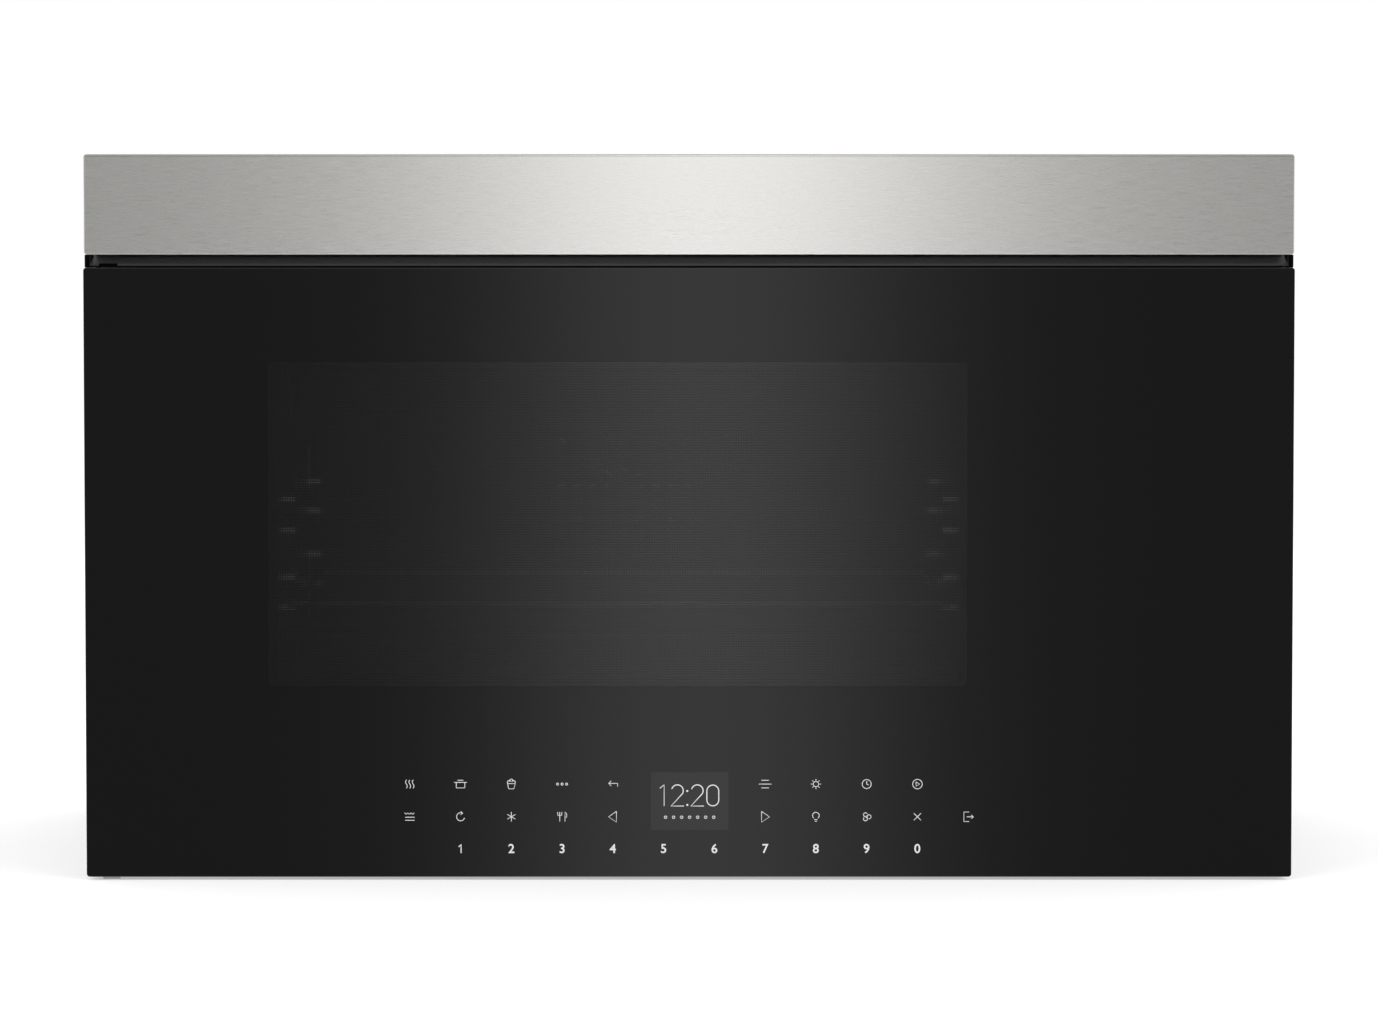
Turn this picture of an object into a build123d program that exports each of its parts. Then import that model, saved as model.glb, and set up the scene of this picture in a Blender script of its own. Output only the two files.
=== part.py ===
from build123d import *
import os
from math import cos, radians, sin

# Over the range microwave oven with a full-width glass door, hinged at the left.
# X runs to the right, Y to the back and Z up, in millimetres.
# The origin is under the middle of the oven, at the height of its base.

# ---------------------------------------------------------------------------------------
# Driving sizes
# ---------------------------------------------------------------------------------------

# sheet metal
cover_sheet = 1.0
base_sheet = 1.0
front_sheet = 1.0
rear_sheet = 1.0
liner_sheet = 1.0
fascia_sheet = 1.2
wall_sheet = 1.5
bracket_sheet = 1.7

# room in the case, from left to right
left_bay = 113.0
cavity_width = 434.0
right_bay = 203.0

# room in the case, from the bottom up
base_bay = 100.0
well_depth = 20.0
ceramic_thickness = 4.0
cavity_height = 206.0
top_bay = 119.8

# room in the case, from front to back
door_depth = 42.0
door_gap = 2.0
liner_depth = 349.0
rear_bay = 82.5

# front of the oven
door_overhang = 3.0
door_lift = 2.0
door_top_margin = 54.0
slot_height = 8.0
fascia_inset = 0.5
fascia_radius = 2.0

# clearances
seat = 0.3
slide_clearance = 0.4
shaft_clearance = 0.05

# screws of the case
screw_head_radius = 3.4
screw_head_height = 2.0
screw_radius = 1.9
screw_length = 7.0
screw_hole_clearance = 0.1

# ---------------------------------------------------------------------------------------
# Planes and lines that several pieces share
# ---------------------------------------------------------------------------------------

liner_width = cavity_width + 2 * liner_sheet
body_width = left_bay + liner_width + right_bay + 2 * cover_sheet
door_width = body_width + 2 * door_overhang
depth = (door_depth + door_gap + front_sheet + liner_depth + liner_sheet
         + rear_bay + rear_sheet + wall_sheet)

door_front = -depth / 2
door_back = door_front + door_depth
plate_front = door_back + door_gap
plate_back = plate_front + front_sheet
cavity_back = plate_back + liner_depth
liner_back = cavity_back + liner_sheet
panel_front = liner_back + rear_bay
panel_back = panel_front + rear_sheet
wall_face = panel_back + wall_sheet

body_side = body_width / 2
bay_side = body_side - cover_sheet
door_side = door_width / 2
cavity_left = -bay_side + left_bay + liner_sheet
cavity_right = cavity_left + cavity_width
liner_left = cavity_left - liner_sheet
liner_right = cavity_right + liner_sheet
cavity_middle = (cavity_left + cavity_right) / 2

well_bottom = base_sheet + base_bay
well_floor = well_bottom + liner_sheet
ledge_top = well_floor + well_depth
cavity_floor = ledge_top + ceramic_thickness
cavity_top = cavity_floor + cavity_height
liner_top = cavity_top + liner_sheet
cover_inside = liner_top + top_bay
cover_top = cover_inside + cover_sheet
height = cover_top + fascia_sheet + screw_head_height

door_top = cavity_top + door_top_margin
fascia_bottom = door_top + slot_height

FROM_BASE = (Align.CENTER, Align.CENTER, Align.MIN)


def block(x, y, z, mode=Mode.ADD):
    """A box between a low and a high limit along each axis."""
    with Locations(((x[0] + x[1]) / 2, (y[0] + y[1]) / 2, (z[0] + z[1]) / 2)):
        Box(x[1] - x[0], y[1] - y[0], z[1] - z[0], mode=mode)


def bar(radius, base, along, length, mode=Mode.ADD):
    """A round bar, or a round hole, that starts at base and runs along a direction."""
    with Locations(Plane(origin=base, z_dir=along)):
        Cylinder(radius, length, align=FROM_BASE, mode=mode)


def cut(x, y, z):
    """Cut a box between a low and a high limit along each axis."""
    block(x, y, z, mode=Mode.SUBTRACT)


def hole(radius, base, along, length):
    """Cut a round hole that starts at base and runs along a direction."""
    bar(radius, base, along, length, mode=Mode.SUBTRACT)


def around(middle, width):
    """The low and high limits of a width centred on a middle."""
    return (middle - width / 2, middle + width / 2)


def facing_front(y):
    """Sketch plane at depth y with X to the right and Z up. It extrudes forwards."""
    return Plane.XZ.offset(-y)


def facing_right(x):
    """Sketch plane at x with Y to the right and Z up. It extrudes to the right."""
    return Plane.YZ.offset(x)


def level(z):
    """Sketch plane at height z. It extrudes upwards."""
    return Plane.XY.offset(z)


os.makedirs("parts", exist_ok=True)

# ---------------------------------------------------------------------------------------
# Hinge: the door turns on two fixed arms at the left
# ---------------------------------------------------------------------------------------

hinge_inset = 15.3
hinge_setback = 12.0
arm_width = 11.0
arm_nose = 5.5
arm_leaf_height = 22.0
pin_radius = 3.0
pin_length = 8.0
bush_radius = 5.5
bush_length = 10.0
arm_gap = 0.6

hinge_x = -door_side + hinge_inset
hinge_y = door_front + hinge_setback
arm_x = around(hinge_x, arm_width)
upper_arm = (door_top + arm_gap, door_top + arm_gap + bracket_sheet)
lower_arm = (0.0, bracket_sheet)
arm_slot_x = around(hinge_x, arm_width + 2 * slide_clearance)

with BuildPart() as upper_hinge_arm:
    block(arm_x, (hinge_y - arm_nose, plate_back + bracket_sheet), upper_arm)
    block(arm_x, (plate_back, plate_back + bracket_sheet), (upper_arm[0], upper_arm[0] + arm_leaf_height))
    bar(pin_radius, (hinge_x, hinge_y, upper_arm[0]), (0, 0, -1), pin_length)
upper_hinge_arm.part.label = "upper_hinge_arm"
export_step(upper_hinge_arm.part, "parts/upper_hinge_arm.step")

with BuildPart() as lower_hinge_arm:
    block(arm_x, (hinge_y - arm_nose, plate_back + bracket_sheet), lower_arm)
    block(arm_x, (plate_back, plate_back + bracket_sheet), (0.0, arm_leaf_height))
    bar(pin_radius, (hinge_x, hinge_y, lower_arm[1]), (0, 0, 1), pin_length)
lower_hinge_arm.part.label = "lower_hinge_arm"
export_step(lower_hinge_arm.part, "parts/lower_hinge_arm.step")

# ---------------------------------------------------------------------------------------
# Latch sizes, which the door, the front plate and the latch board share
# ---------------------------------------------------------------------------------------

hook_inset = 46.0
hook_width = 6.0
hook_arm_height = 8.0
latch_travel = 5.0
latch_play = 0.4
lip_standoff = 5.0
lip_depth = 6.0
lip_height = 6.0
barb_play = 0.5
barb_length = 7.5
lower_lip_top = 85.0
upper_lip_top = 300.0
slot_play_left = 1.5
slot_play_right = 3.5
slot_play_up = 1.0

hook_x = door_side - hook_inset
hook_sides = around(hook_x, hook_width)
lip_front = plate_back + lip_standoff
lip_back = lip_front + lip_depth
barb_front = lip_back + barb_play
barb_back = barb_front + barb_length
lip_tops = (lower_lip_top, upper_lip_top)
latch_slot_x = (hook_sides[0] - slot_play_left, hook_sides[1] + slot_play_right)


def barb_bottom(lip_top):
    """Underside of a lifted barb, which passes just over its lip."""
    return lip_top + latch_play


def hook_bottom(lip_top):
    """Underside of a lifted hook's arm."""
    return barb_bottom(lip_top) + latch_travel


def hook_top(lip_top):
    """Top of a lifted hook's arm."""
    return hook_bottom(lip_top) + hook_arm_height


# ---------------------------------------------------------------------------------------
# Case
# ---------------------------------------------------------------------------------------

flange_height = 15.0
side_screw_height = 8.0
side_screw_from_front = 30.0
side_screw_from_back = 30.0
tab_pitch = 250.0
tab_width = 30.0
tab_reach = 16.0
tab_screw_setback = 8.0

side_screw_y = (plate_front + side_screw_from_front, 0.0, panel_back - side_screw_from_back)
tab_x = (-tab_pitch, 0.0, tab_pitch)
tab_screw_y = plate_front + tab_screw_setback
screw_hole_radius = screw_radius + screw_hole_clearance

exhaust_width = 250.0
exhaust_depth = 80.0
exhaust_from_blower = 5.5
exhaust_frame_sheet = 3.0
exhaust_frame_height = 14.0

grommet_hole_radius = 11.0
grommet_from_side = 56.0
grommet_from_back = 48.0
grommet_x = bay_side - grommet_from_side
grommet_y = panel_front - grommet_from_back

cabinet_bolt_spacing = 533.4
cabinet_bolt_radius = 4.0
cabinet_bolt_y = -20.0

scroll_radius = 54.0
scroll_sheet = 1.5
scroll_reach = 68.0
blower_back_gap = 15.0
blower_foot = 5.0
blower_y = panel_front - blower_back_gap - scroll_radius
blower_z = liner_top + blower_foot + scroll_radius
exhaust_back = blower_y - scroll_reach - exhaust_from_blower
exhaust_y = (exhaust_back - exhaust_depth, exhaust_back)
exhaust_x = around(0.0, exhaust_width)

cover_bend = 1.5

with BuildPart() as cover:
    with BuildSketch(facing_front(panel_back)) as cover_section:
        with Locations((0, cover_top / 2)):
            Rectangle(body_width, cover_top)
        fillet(cover_section.vertices().group_by(Axis.Y)[-1], cover_bend)
        with Locations((0, cover_inside / 2)):
            Rectangle(2 * bay_side, cover_inside, mode=Mode.SUBTRACT)
    extrude(amount=panel_back - plate_front)
    cut(exhaust_x, exhaust_y, (cover_inside, cover_top))
    for y in side_screw_y:
        hole(screw_hole_radius, (-body_side, y, side_screw_height), (1, 0, 0), body_width)
    for x in tab_x:
        hole(screw_hole_radius, (x, tab_screw_y, cover_inside), (0, 0, 1), cover_sheet)
    for x in around(0.0, cabinet_bolt_spacing):
        hole(cabinet_bolt_radius, (x, cabinet_bolt_y, cover_inside), (0, 0, 1), cover_sheet)
    hole(grommet_hole_radius, (grommet_x, grommet_y, cover_inside), (0, 0, 1), cover_sheet)
cover.part.label = "cover"
export_step(cover.part, "parts/cover.step")

filter_width = 170.0
filter_depth = 190.0
filter_ledge = 8.0
filter_spread = 320.0
filter_front_gap = 75.0
filter_rail_sheet = 1.5
filter_rail_height = 10.0
filter_travel = 8.0
filter_x = around(0.0, filter_spread)
filter_y = (plate_back + filter_front_gap, plate_back + filter_front_gap + filter_depth)

lamp_spread = 300.0
lamp_front_gap = 35.0
lamp_window_width = 50.0
lamp_window_depth = 18.0
lamp_x = around(0.0, lamp_spread)
lamp_y = plate_back + lamp_front_gap

louvre_count = 8
louvre_length = 40.0
louvre_width = 4.0
louvre_pitch = 10.0
louvre_from_side = 45.0
louvre_y = 20.0

with BuildPart() as base_pan:
    block((-bay_side, bay_side), (plate_back, panel_front), (0.0, base_sheet))
    for x in ((-bay_side, base_sheet - bay_side), (bay_side - base_sheet, bay_side)):
        block(x, (plate_back, panel_front), (0.0, flange_height))
    block((-bay_side, bay_side), (panel_front - base_sheet, panel_front), (0.0, flange_height))
    for x in filter_x:
        cut(around(x, filter_width - 2 * filter_ledge),
            (filter_y[0] + filter_ledge, filter_y[1] - filter_ledge), (0.0, base_sheet))
        for side in (-1, 1):
            rail = x + side * (filter_width / 2 + seat + filter_rail_sheet / 2)
            block(around(rail, filter_rail_sheet), (filter_y[0], filter_y[1] + filter_travel),
                  (base_sheet, base_sheet + filter_rail_height))
    for x in lamp_x:
        cut(around(x, lamp_window_width), around(lamp_y, lamp_window_depth), (0.0, base_sheet))
    for i in range(louvre_count):
        y = louvre_y + (i - (louvre_count - 1) / 2) * louvre_pitch
        cut(around(bay_side - louvre_from_side, louvre_length), around(y, louvre_width),
            (0.0, base_sheet))
    cut(arm_slot_x, (plate_back, plate_back + bracket_sheet + seat), (0.0, flange_height))
    for y in side_screw_y:
        hole(screw_hole_radius, (-bay_side, y, side_screw_height), (1, 0, 0), 2 * bay_side)
base_pan.part.label = "base_pan"
export_step(base_pan.part, "parts/base_pan.step")

shelf_depth = 22.0
filter_window_side = 300.0
filter_window_height = 46.0
guide_rise = 6.0

shelf_top = fascia_bottom + guide_rise
filter_window_top = shelf_top + filter_window_height

with BuildPart() as front_plate:
    with BuildSketch(facing_front(plate_back)) as plate_outline:
        with Locations((0, cover_inside / 2)):
            Rectangle(2 * bay_side, cover_inside)
        with Locations((cavity_middle, (ledge_top + cavity_top) / 2)):
            Rectangle(cavity_width, cavity_top - ledge_top, mode=Mode.SUBTRACT)
        with Locations((0, (shelf_top + filter_window_top) / 2)):
            Rectangle(2 * filter_window_side, filter_window_height, mode=Mode.SUBTRACT)
    extrude(amount=front_sheet)
    block((-filter_window_side, filter_window_side), (plate_back, plate_back + shelf_depth),
          (shelf_top - front_sheet, shelf_top))
    for lip_top in lip_tops:
        cut(latch_slot_x, (plate_front, plate_back),
            (lip_top - slot_play_up, hook_top(lip_top) + slot_play_up))
    for arm in (lower_arm, upper_arm):
        cut(arm_slot_x, (plate_front, plate_back), (arm[0] - seat, arm[1] + seat))
front_plate.part.label = "front_plate"
export_step(front_plate.part, "parts/front_plate.step")

# the wall plate carries the oven on two tabs that reach through the rear panel
wall_plate_width = 700.0
wall_plate_height = 110.0
wall_plate_lift = 10.0
stud_spacing = 406.4
stud_rise = 50.0
stud_radius = 3.5
stud_access_radius = 10.0
hanger_spread = 560.0
hanger_width = 30.0
hanger_neck = 2.0
hanger_reach = 4.0
hanger_height = 24.0
hanger_lift = 50.0
hanger_slot_play = 1.0

wall_plate_z = (wall_plate_lift, wall_plate_lift + wall_plate_height)
stud_z = around((wall_plate_z[0] + wall_plate_z[1]) / 2, stud_rise)
stud_x = around(0.0, stud_spacing)
hanger_x = around(0.0, hanger_spread)
hanger_z = wall_plate_z[0] + hanger_lift

with BuildPart() as rear_panel:
    block((-bay_side, bay_side), (panel_front, panel_back), (0.0, cover_inside))
    for x in stud_x:
        for z in stud_z:
            hole(stud_access_radius, (x, panel_front, z), (0, 1, 0), rear_sheet)
    for x in hanger_x:
        cut(around(x, hanger_width + 2 * hanger_slot_play), (panel_front, panel_back),
            (hanger_z, hanger_z + hanger_height + hanger_slot_play))
rear_panel.part.label = "rear_panel"
export_step(rear_panel.part, "parts/rear_panel.step")

with BuildPart() as wall_plate:
    block(around(0.0, wall_plate_width), (panel_back, wall_face), wall_plate_z)
    for x in hanger_x:
        block(around(x, hanger_width), (panel_front - hanger_reach, panel_back),
              (hanger_z, hanger_z + hanger_neck))
        block(around(x, hanger_width),
              (panel_front - hanger_reach, panel_front - hanger_reach + wall_sheet),
              (hanger_z, hanger_z + hanger_height))
    for x in stud_x:
        for z in stud_z:
            hole(stud_radius, (x, panel_back, z), (0, 1, 0), wall_sheet)
wall_plate.part.label = "wall_plate"
export_step(wall_plate.part, "parts/wall_plate.step")

# ---------------------------------------------------------------------------------------
# Oven cavity
# ---------------------------------------------------------------------------------------

ledge_width = 12.0
convection_hole_radius = 76.0
stirrer_hole_radius = 20.0
stirrer_setback = 175.0
grill_rod_radius = 3.2
grill_hole_clearance = 0.8
grill_drop = 12.0
grill_pitch = 60.0
grill_passes = 4
lamp_hole_radius = 1.5
lamp_hole_pitch = 5.0
lamp_hole_rows = 5
cavity_lamp_setback = 95.0
cavity_lamp_drop = 40.0

well_x = (cavity_left + ledge_width, cavity_right - ledge_width)
well_y = (plate_back + ledge_width, cavity_back - ledge_width)
convection_z = (cavity_floor + cavity_top) / 2
stirrer_x = cavity_middle
stirrer_y = plate_back + stirrer_setback
grill_z = cavity_top - grill_drop
grill_middle = (plate_back + cavity_back) / 2
grill_lines = [grill_middle + (i - (grill_passes - 1) / 2) * grill_pitch for i in range(grill_passes)]
cavity_lamp_y = plate_back + cavity_lamp_setback
cavity_lamp_z = cavity_top - cavity_lamp_drop

with BuildPart() as cavity_liner:
    block((liner_left, liner_right), (plate_back, liner_back), (ledge_top - liner_sheet, liner_top))
    block((well_x[0] - liner_sheet, well_x[1] + liner_sheet),
          (well_y[0] - liner_sheet, well_y[1] + liner_sheet), (well_bottom, ledge_top))
    cut((cavity_left, cavity_right), (plate_back, cavity_back), (ledge_top, cavity_top))
    cut(well_x, well_y, (well_floor, ledge_top))
    hole(stirrer_hole_radius, (stirrer_x, stirrer_y, well_bottom), (0, 0, 1), liner_sheet)
    hole(convection_hole_radius, (cavity_middle, cavity_back, convection_z), (0, 1, 0), liner_sheet)
    for y in (grill_lines[0], grill_lines[-1]):
        hole(grill_rod_radius + grill_hole_clearance, (cavity_right, y, grill_z), (1, 0, 0), liner_sheet)
    with BuildSketch(facing_right(cavity_right)):
        with Locations((cavity_lamp_y, cavity_lamp_z)):
            with GridLocations(lamp_hole_pitch, lamp_hole_pitch, lamp_hole_rows, lamp_hole_rows):
                Circle(lamp_hole_radius)
    extrude(amount=liner_sheet, mode=Mode.SUBTRACT)
cavity_liner.part.label = "cavity_liner"
export_step(cavity_liner.part, "parts/cavity_liner.step")

ceramic_play = 0.5
with BuildPart() as ceramic_floor:
    block((cavity_left + ceramic_play, cavity_right - ceramic_play),
          (plate_back, cavity_back - ceramic_play), (ledge_top, cavity_floor))
ceramic_floor.part.label = "ceramic_floor"
export_step(ceramic_floor.part, "parts/ceramic_floor.step")

# two rack levels a side, each with a clip under the rack and one over it
low_rack_clip = 40.5
low_rack_stop = 60.0
high_rack_clip = 90.0
high_rack_stop = 110.0
clip_heights = (low_rack_clip, low_rack_stop, high_rack_clip, high_rack_stop)
clip_reach = 8.0
clip_length = 10.0
clip_thickness = 3.0
clip_front_setback = 45.0
clip_back_setback = 60.0
clip_y = (plate_back + clip_front_setback, cavity_back - clip_back_setback)
clip_sides = ((cavity_left, cavity_left + clip_reach), (cavity_right - clip_reach, cavity_right))

with BuildPart() as rack_clips:
    for x in clip_sides:
        for y in clip_y:
            for rise in clip_heights:
                block(x, around(y, clip_length), around(cavity_floor + rise, clip_thickness))
rack_clips.part.label = "rack_clips"
export_step(rack_clips.part, "parts/rack_clips.step")

rack_rod_radius = 2.5
rack_wire_radius = 1.25
rack_side_inset = 6.5
rack_front_gap = 15.0
rack_back_gap = 14.0
rack_wires = 13
rack_overhang = 5.0
rack_x = (cavity_left + rack_side_inset, cavity_right - rack_side_inset)
rack_y = (plate_back + rack_front_gap, cavity_back - rack_back_gap)
rack_z = cavity_floor + clip_heights[0] + clip_thickness / 2 + seat + rack_rod_radius
rack_length = rack_y[1] - rack_y[0]
rack_span = rack_x[1] - rack_x[0]

with BuildPart() as wire_rack:
    for x in rack_x:
        bar(rack_rod_radius, (x, rack_y[0] - rack_overhang, rack_z), (0, 1, 0),
            rack_length + 2 * rack_overhang)
    for y in rack_y:
        bar(rack_rod_radius, (rack_x[0], y, rack_z), (1, 0, 0), rack_span)
    for i in range(rack_wires):
        x = rack_x[0] + (i + 1) * rack_span / (rack_wires + 1)
        bar(rack_wire_radius, (x, rack_y[0], rack_z), (0, 1, 0), rack_length)
wire_rack.part.label = "wire_rack"
export_step(wire_rack.part, "parts/wire_rack.step")

grill_bend = 20.0
grill_left_gap = 27.0
grill_right_gap = 32.0
grill_tail = 14.0
grill_flange_radius = 9.0
grill_flange_thickness = 1.5
grill_front_x = cavity_left + grill_left_gap
grill_turn_x = cavity_right - grill_right_gap
grill_end_x = liner_right + grill_tail

with BuildPart() as grill_heater:
    with BuildLine() as grill_path:
        FilletPolyline(
            (grill_end_x, grill_lines[0], grill_z), (grill_front_x, grill_lines[0], grill_z),
            (grill_front_x, grill_lines[1], grill_z), (grill_turn_x, grill_lines[1], grill_z),
            (grill_turn_x, grill_lines[2], grill_z), (grill_front_x, grill_lines[2], grill_z),
            (grill_front_x, grill_lines[3], grill_z), (grill_end_x, grill_lines[3], grill_z),
            radius=grill_bend)
    with BuildSketch(Plane(origin=(grill_end_x, grill_lines[0], grill_z), z_dir=(-1, 0, 0))):
        Circle(grill_rod_radius)
    sweep()
    for y in (grill_lines[0], grill_lines[-1]):
        bar(grill_flange_radius, (liner_right, y, grill_z), (1, 0, 0), grill_flange_thickness)
grill_heater.part.label = "grill_heater"
export_step(grill_heater.part, "parts/grill_heater.step")

# ---------------------------------------------------------------------------------------
# Convection fan behind the cavity
# ---------------------------------------------------------------------------------------

fan_cover_width = 200.0
fan_cover_height = 180.0
fan_cover_depth = 8.0
fan_cover_sheet = 1.0
fan_hole_radius = 3.0
fan_hole_pitch = 11.0
fan_hole_rows = 9
drum_radius = 88.0
drum_depth = 40.0
drum_flange = 8.0
heater_ring_radius = 74.0
heater_rod_radius = 3.2
heater_setback = 13.0
heater_open_angle = 20.0
heater_tail = 37.0
heater_hole_clearance = 0.8
wheel_radius = 62.0
wheel_front = 7.0
wheel_blade_depth = 20.0
wheel_disc = 1.5
wheel_blades = 10
wheel_hub_radius = 12.0
convection_shaft_radius = 3.5
convection_motor_radius = 32.0
convection_motor_length = 35.0
convection_shaft_reach = 20.0

drum_back = liner_back + drum_depth
heater_y = liner_back + heater_setback
heater_ends = [(cavity_middle + heater_ring_radius * cos(radians(90.0 + side * heater_open_angle / 2)),
                convection_z + heater_ring_radius * sin(radians(90.0 + heater_open_angle / 2)))
               for side in (-1, 1)]

with BuildPart() as convection_cover:
    with BuildSketch(facing_front(cavity_back)) as cover_rim:
        with Locations((cavity_middle, convection_z)):
            Rectangle(fan_cover_width, fan_cover_height)
            Rectangle(fan_cover_width - 2 * fan_cover_sheet, fan_cover_height - 2 * fan_cover_sheet,
                      mode=Mode.SUBTRACT)
    extrude(amount=fan_cover_depth - fan_cover_sheet)
    with BuildSketch(facing_front(cavity_back - fan_cover_depth + fan_cover_sheet)) as cover_face:
        with Locations((cavity_middle, convection_z)):
            Rectangle(fan_cover_width, fan_cover_height)
            with GridLocations(fan_hole_pitch, fan_hole_pitch, fan_hole_rows, fan_hole_rows):
                Circle(fan_hole_radius, mode=Mode.SUBTRACT)
    extrude(amount=fan_cover_sheet)
convection_cover.part.label = "convection_cover"
export_step(convection_cover.part, "parts/convection_cover.step")

with BuildPart() as convection_drum:
    drum_centre = (cavity_middle, liner_back, convection_z)
    bar(drum_radius + liner_sheet + drum_flange, drum_centre, (0, 1, 0), liner_sheet)
    bar(drum_radius + liner_sheet, drum_centre, (0, 1, 0), drum_depth)
    hole(drum_radius, drum_centre, (0, 1, 0), drum_depth - liner_sheet)
    hole(convection_shaft_radius + 2 * slide_clearance, drum_centre, (0, 1, 0), drum_depth)
    for x, z in heater_ends:
        hole(heater_rod_radius + heater_hole_clearance, (x, liner_back, z), (0, 1, 0), drum_depth)
convection_drum.part.label = "convection_drum"
export_step(convection_drum.part, "parts/convection_drum.step")

with BuildPart() as convection_heater:
    ring_start = radians(90.0 + heater_open_angle / 2)
    ring_plane = Plane(origin=(cavity_middle, heater_y, convection_z),
                       x_dir=(cos(ring_start), 0, sin(ring_start)), z_dir=(0, -1, 0))
    with Locations(ring_plane):
        Torus(heater_ring_radius, heater_rod_radius, major_angle=360.0 - heater_open_angle)
    for x, z in heater_ends:
        bar(heater_rod_radius, (x, heater_y, z), (0, 1, 0), heater_tail)
        with Locations((x, heater_y, z)):
            Sphere(heater_rod_radius)
convection_heater.part.label = "convection_heater"
export_step(convection_heater.part, "parts/convection_heater.step")

wheel_y = liner_back + wheel_front
wheel_disc_y = wheel_y + wheel_blade_depth
blade_root = wheel_hub_radius - wheel_disc
blade_tip = wheel_radius - wheel_disc

with BuildPart() as convection_wheel:
    bar(wheel_radius, (cavity_middle, wheel_disc_y, convection_z), (0, 1, 0), wheel_disc)
    bar(wheel_hub_radius, (cavity_middle, wheel_y, convection_z), (0, 1, 0), wheel_blade_depth)
    bar(convection_shaft_radius, (cavity_middle, wheel_disc_y, convection_z), (0, 1, 0),
        drum_back + convection_shaft_reach - wheel_disc_y)
    with BuildSketch(facing_front(wheel_disc_y)):
        with Locations((cavity_middle, convection_z)):
            with PolarLocations((blade_root + blade_tip) / 2, wheel_blades):
                Rectangle(blade_tip - blade_root, wheel_disc)
    extrude(amount=wheel_blade_depth)
convection_wheel.part.label = "convection_wheel"
export_step(convection_wheel.part, "parts/convection_wheel.step")

with BuildPart() as convection_motor:
    motor_base = (cavity_middle, drum_back, convection_z)
    bar(convection_motor_radius, motor_base, (0, 1, 0), convection_motor_length)
    hole(convection_shaft_radius + shaft_clearance, motor_base, (0, 1, 0), convection_motor_length)
convection_motor.part.label = "convection_motor"
export_step(convection_motor.part, "parts/convection_motor.step")

# ---------------------------------------------------------------------------------------
# Microwave source: stirrer, waveguide, magnetron and its supply
# ---------------------------------------------------------------------------------------

guide_width = 80.0
guide_height = 22.0
guide_sheet = 1.0
guide_left_reach = 45.0
guide_right_reach = 147.0
antenna_hole_radius = 12.0
source_from_liner = 102.0
stirrer_motor_radius = 24.0
stirrer_motor_height = 22.0
stirrer_shaft_radius = 3.0
stirrer_shaft_depth = 14.0
stirrer_radius = 62.0
stirrer_thickness = 2.0
stirrer_rise = 7.0
stirrer_window = 18.0
stirrer_windows = 3
stirrer_window_circle = 38.0

guide_x = (stirrer_x - guide_left_reach, liner_right + guide_right_reach)
guide_z = (well_bottom - guide_height, well_bottom)
guide_y = around(stirrer_y, guide_width)
source_x = liner_right + source_from_liner
stirrer_z = well_floor + stirrer_rise

with BuildPart() as waveguide:
    block(guide_x, guide_y, guide_z)
    cut((guide_x[0] + guide_sheet, guide_x[1] - guide_sheet),
        (guide_y[0] + guide_sheet, guide_y[1] - guide_sheet),
        (guide_z[0] + guide_sheet, guide_z[1] - guide_sheet))
    hole(stirrer_hole_radius, (stirrer_x, stirrer_y, guide_z[1] - guide_sheet), (0, 0, 1), guide_sheet)
    hole(antenna_hole_radius, (source_x, stirrer_y, guide_z[1] - guide_sheet), (0, 0, 1), guide_sheet)
    hole(stirrer_shaft_radius + slide_clearance, (stirrer_x, stirrer_y, guide_z[0]), (0, 0, 1),
         guide_sheet)
waveguide.part.label = "waveguide"
export_step(waveguide.part, "parts/waveguide.step")

with BuildPart() as stirrer_motor:
    bar(stirrer_motor_radius, (stirrer_x, stirrer_y, guide_z[0]), (0, 0, -1), stirrer_motor_height)
    hole(stirrer_shaft_radius + shaft_clearance, (stirrer_x, stirrer_y, guide_z[0]), (0, 0, -1),
         stirrer_shaft_depth + seat)
stirrer_motor.part.label = "stirrer_motor"
export_step(stirrer_motor.part, "parts/stirrer_motor.step")

with BuildPart() as stirrer:
    bar(stirrer_shaft_radius, (stirrer_x, stirrer_y, guide_z[0] - stirrer_shaft_depth), (0, 0, 1),
        stirrer_z - guide_z[0] + stirrer_shaft_depth)
    with BuildSketch(level(stirrer_z)):
        with Locations((stirrer_x, stirrer_y)):
            Circle(stirrer_radius)
            with PolarLocations(stirrer_window_circle, stirrer_windows):
                Rectangle(stirrer_window, 2 * stirrer_window, mode=Mode.SUBTRACT)
    extrude(amount=stirrer_thickness)
stirrer.part.label = "stirrer"
export_step(stirrer.part, "parts/stirrer.step")

magnetron_width = 90.0
magnetron_depth = 80.0
magnetron_plate = 2.0
magnetron_height = 82.0
magnetron_fin = 1.0
magnetron_fins = 6
magnetron_fin_pitch = 8.0
magnetron_core_radius = 20.0
magnet_radius = 29.0
magnet_height = 12.0
filter_box_height = 20.0
antenna_radius = 9.0
antenna_length = 14.0

magnetron_z = well_bottom + magnetron_plate
magnetron_top = magnetron_z + magnetron_height

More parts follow.
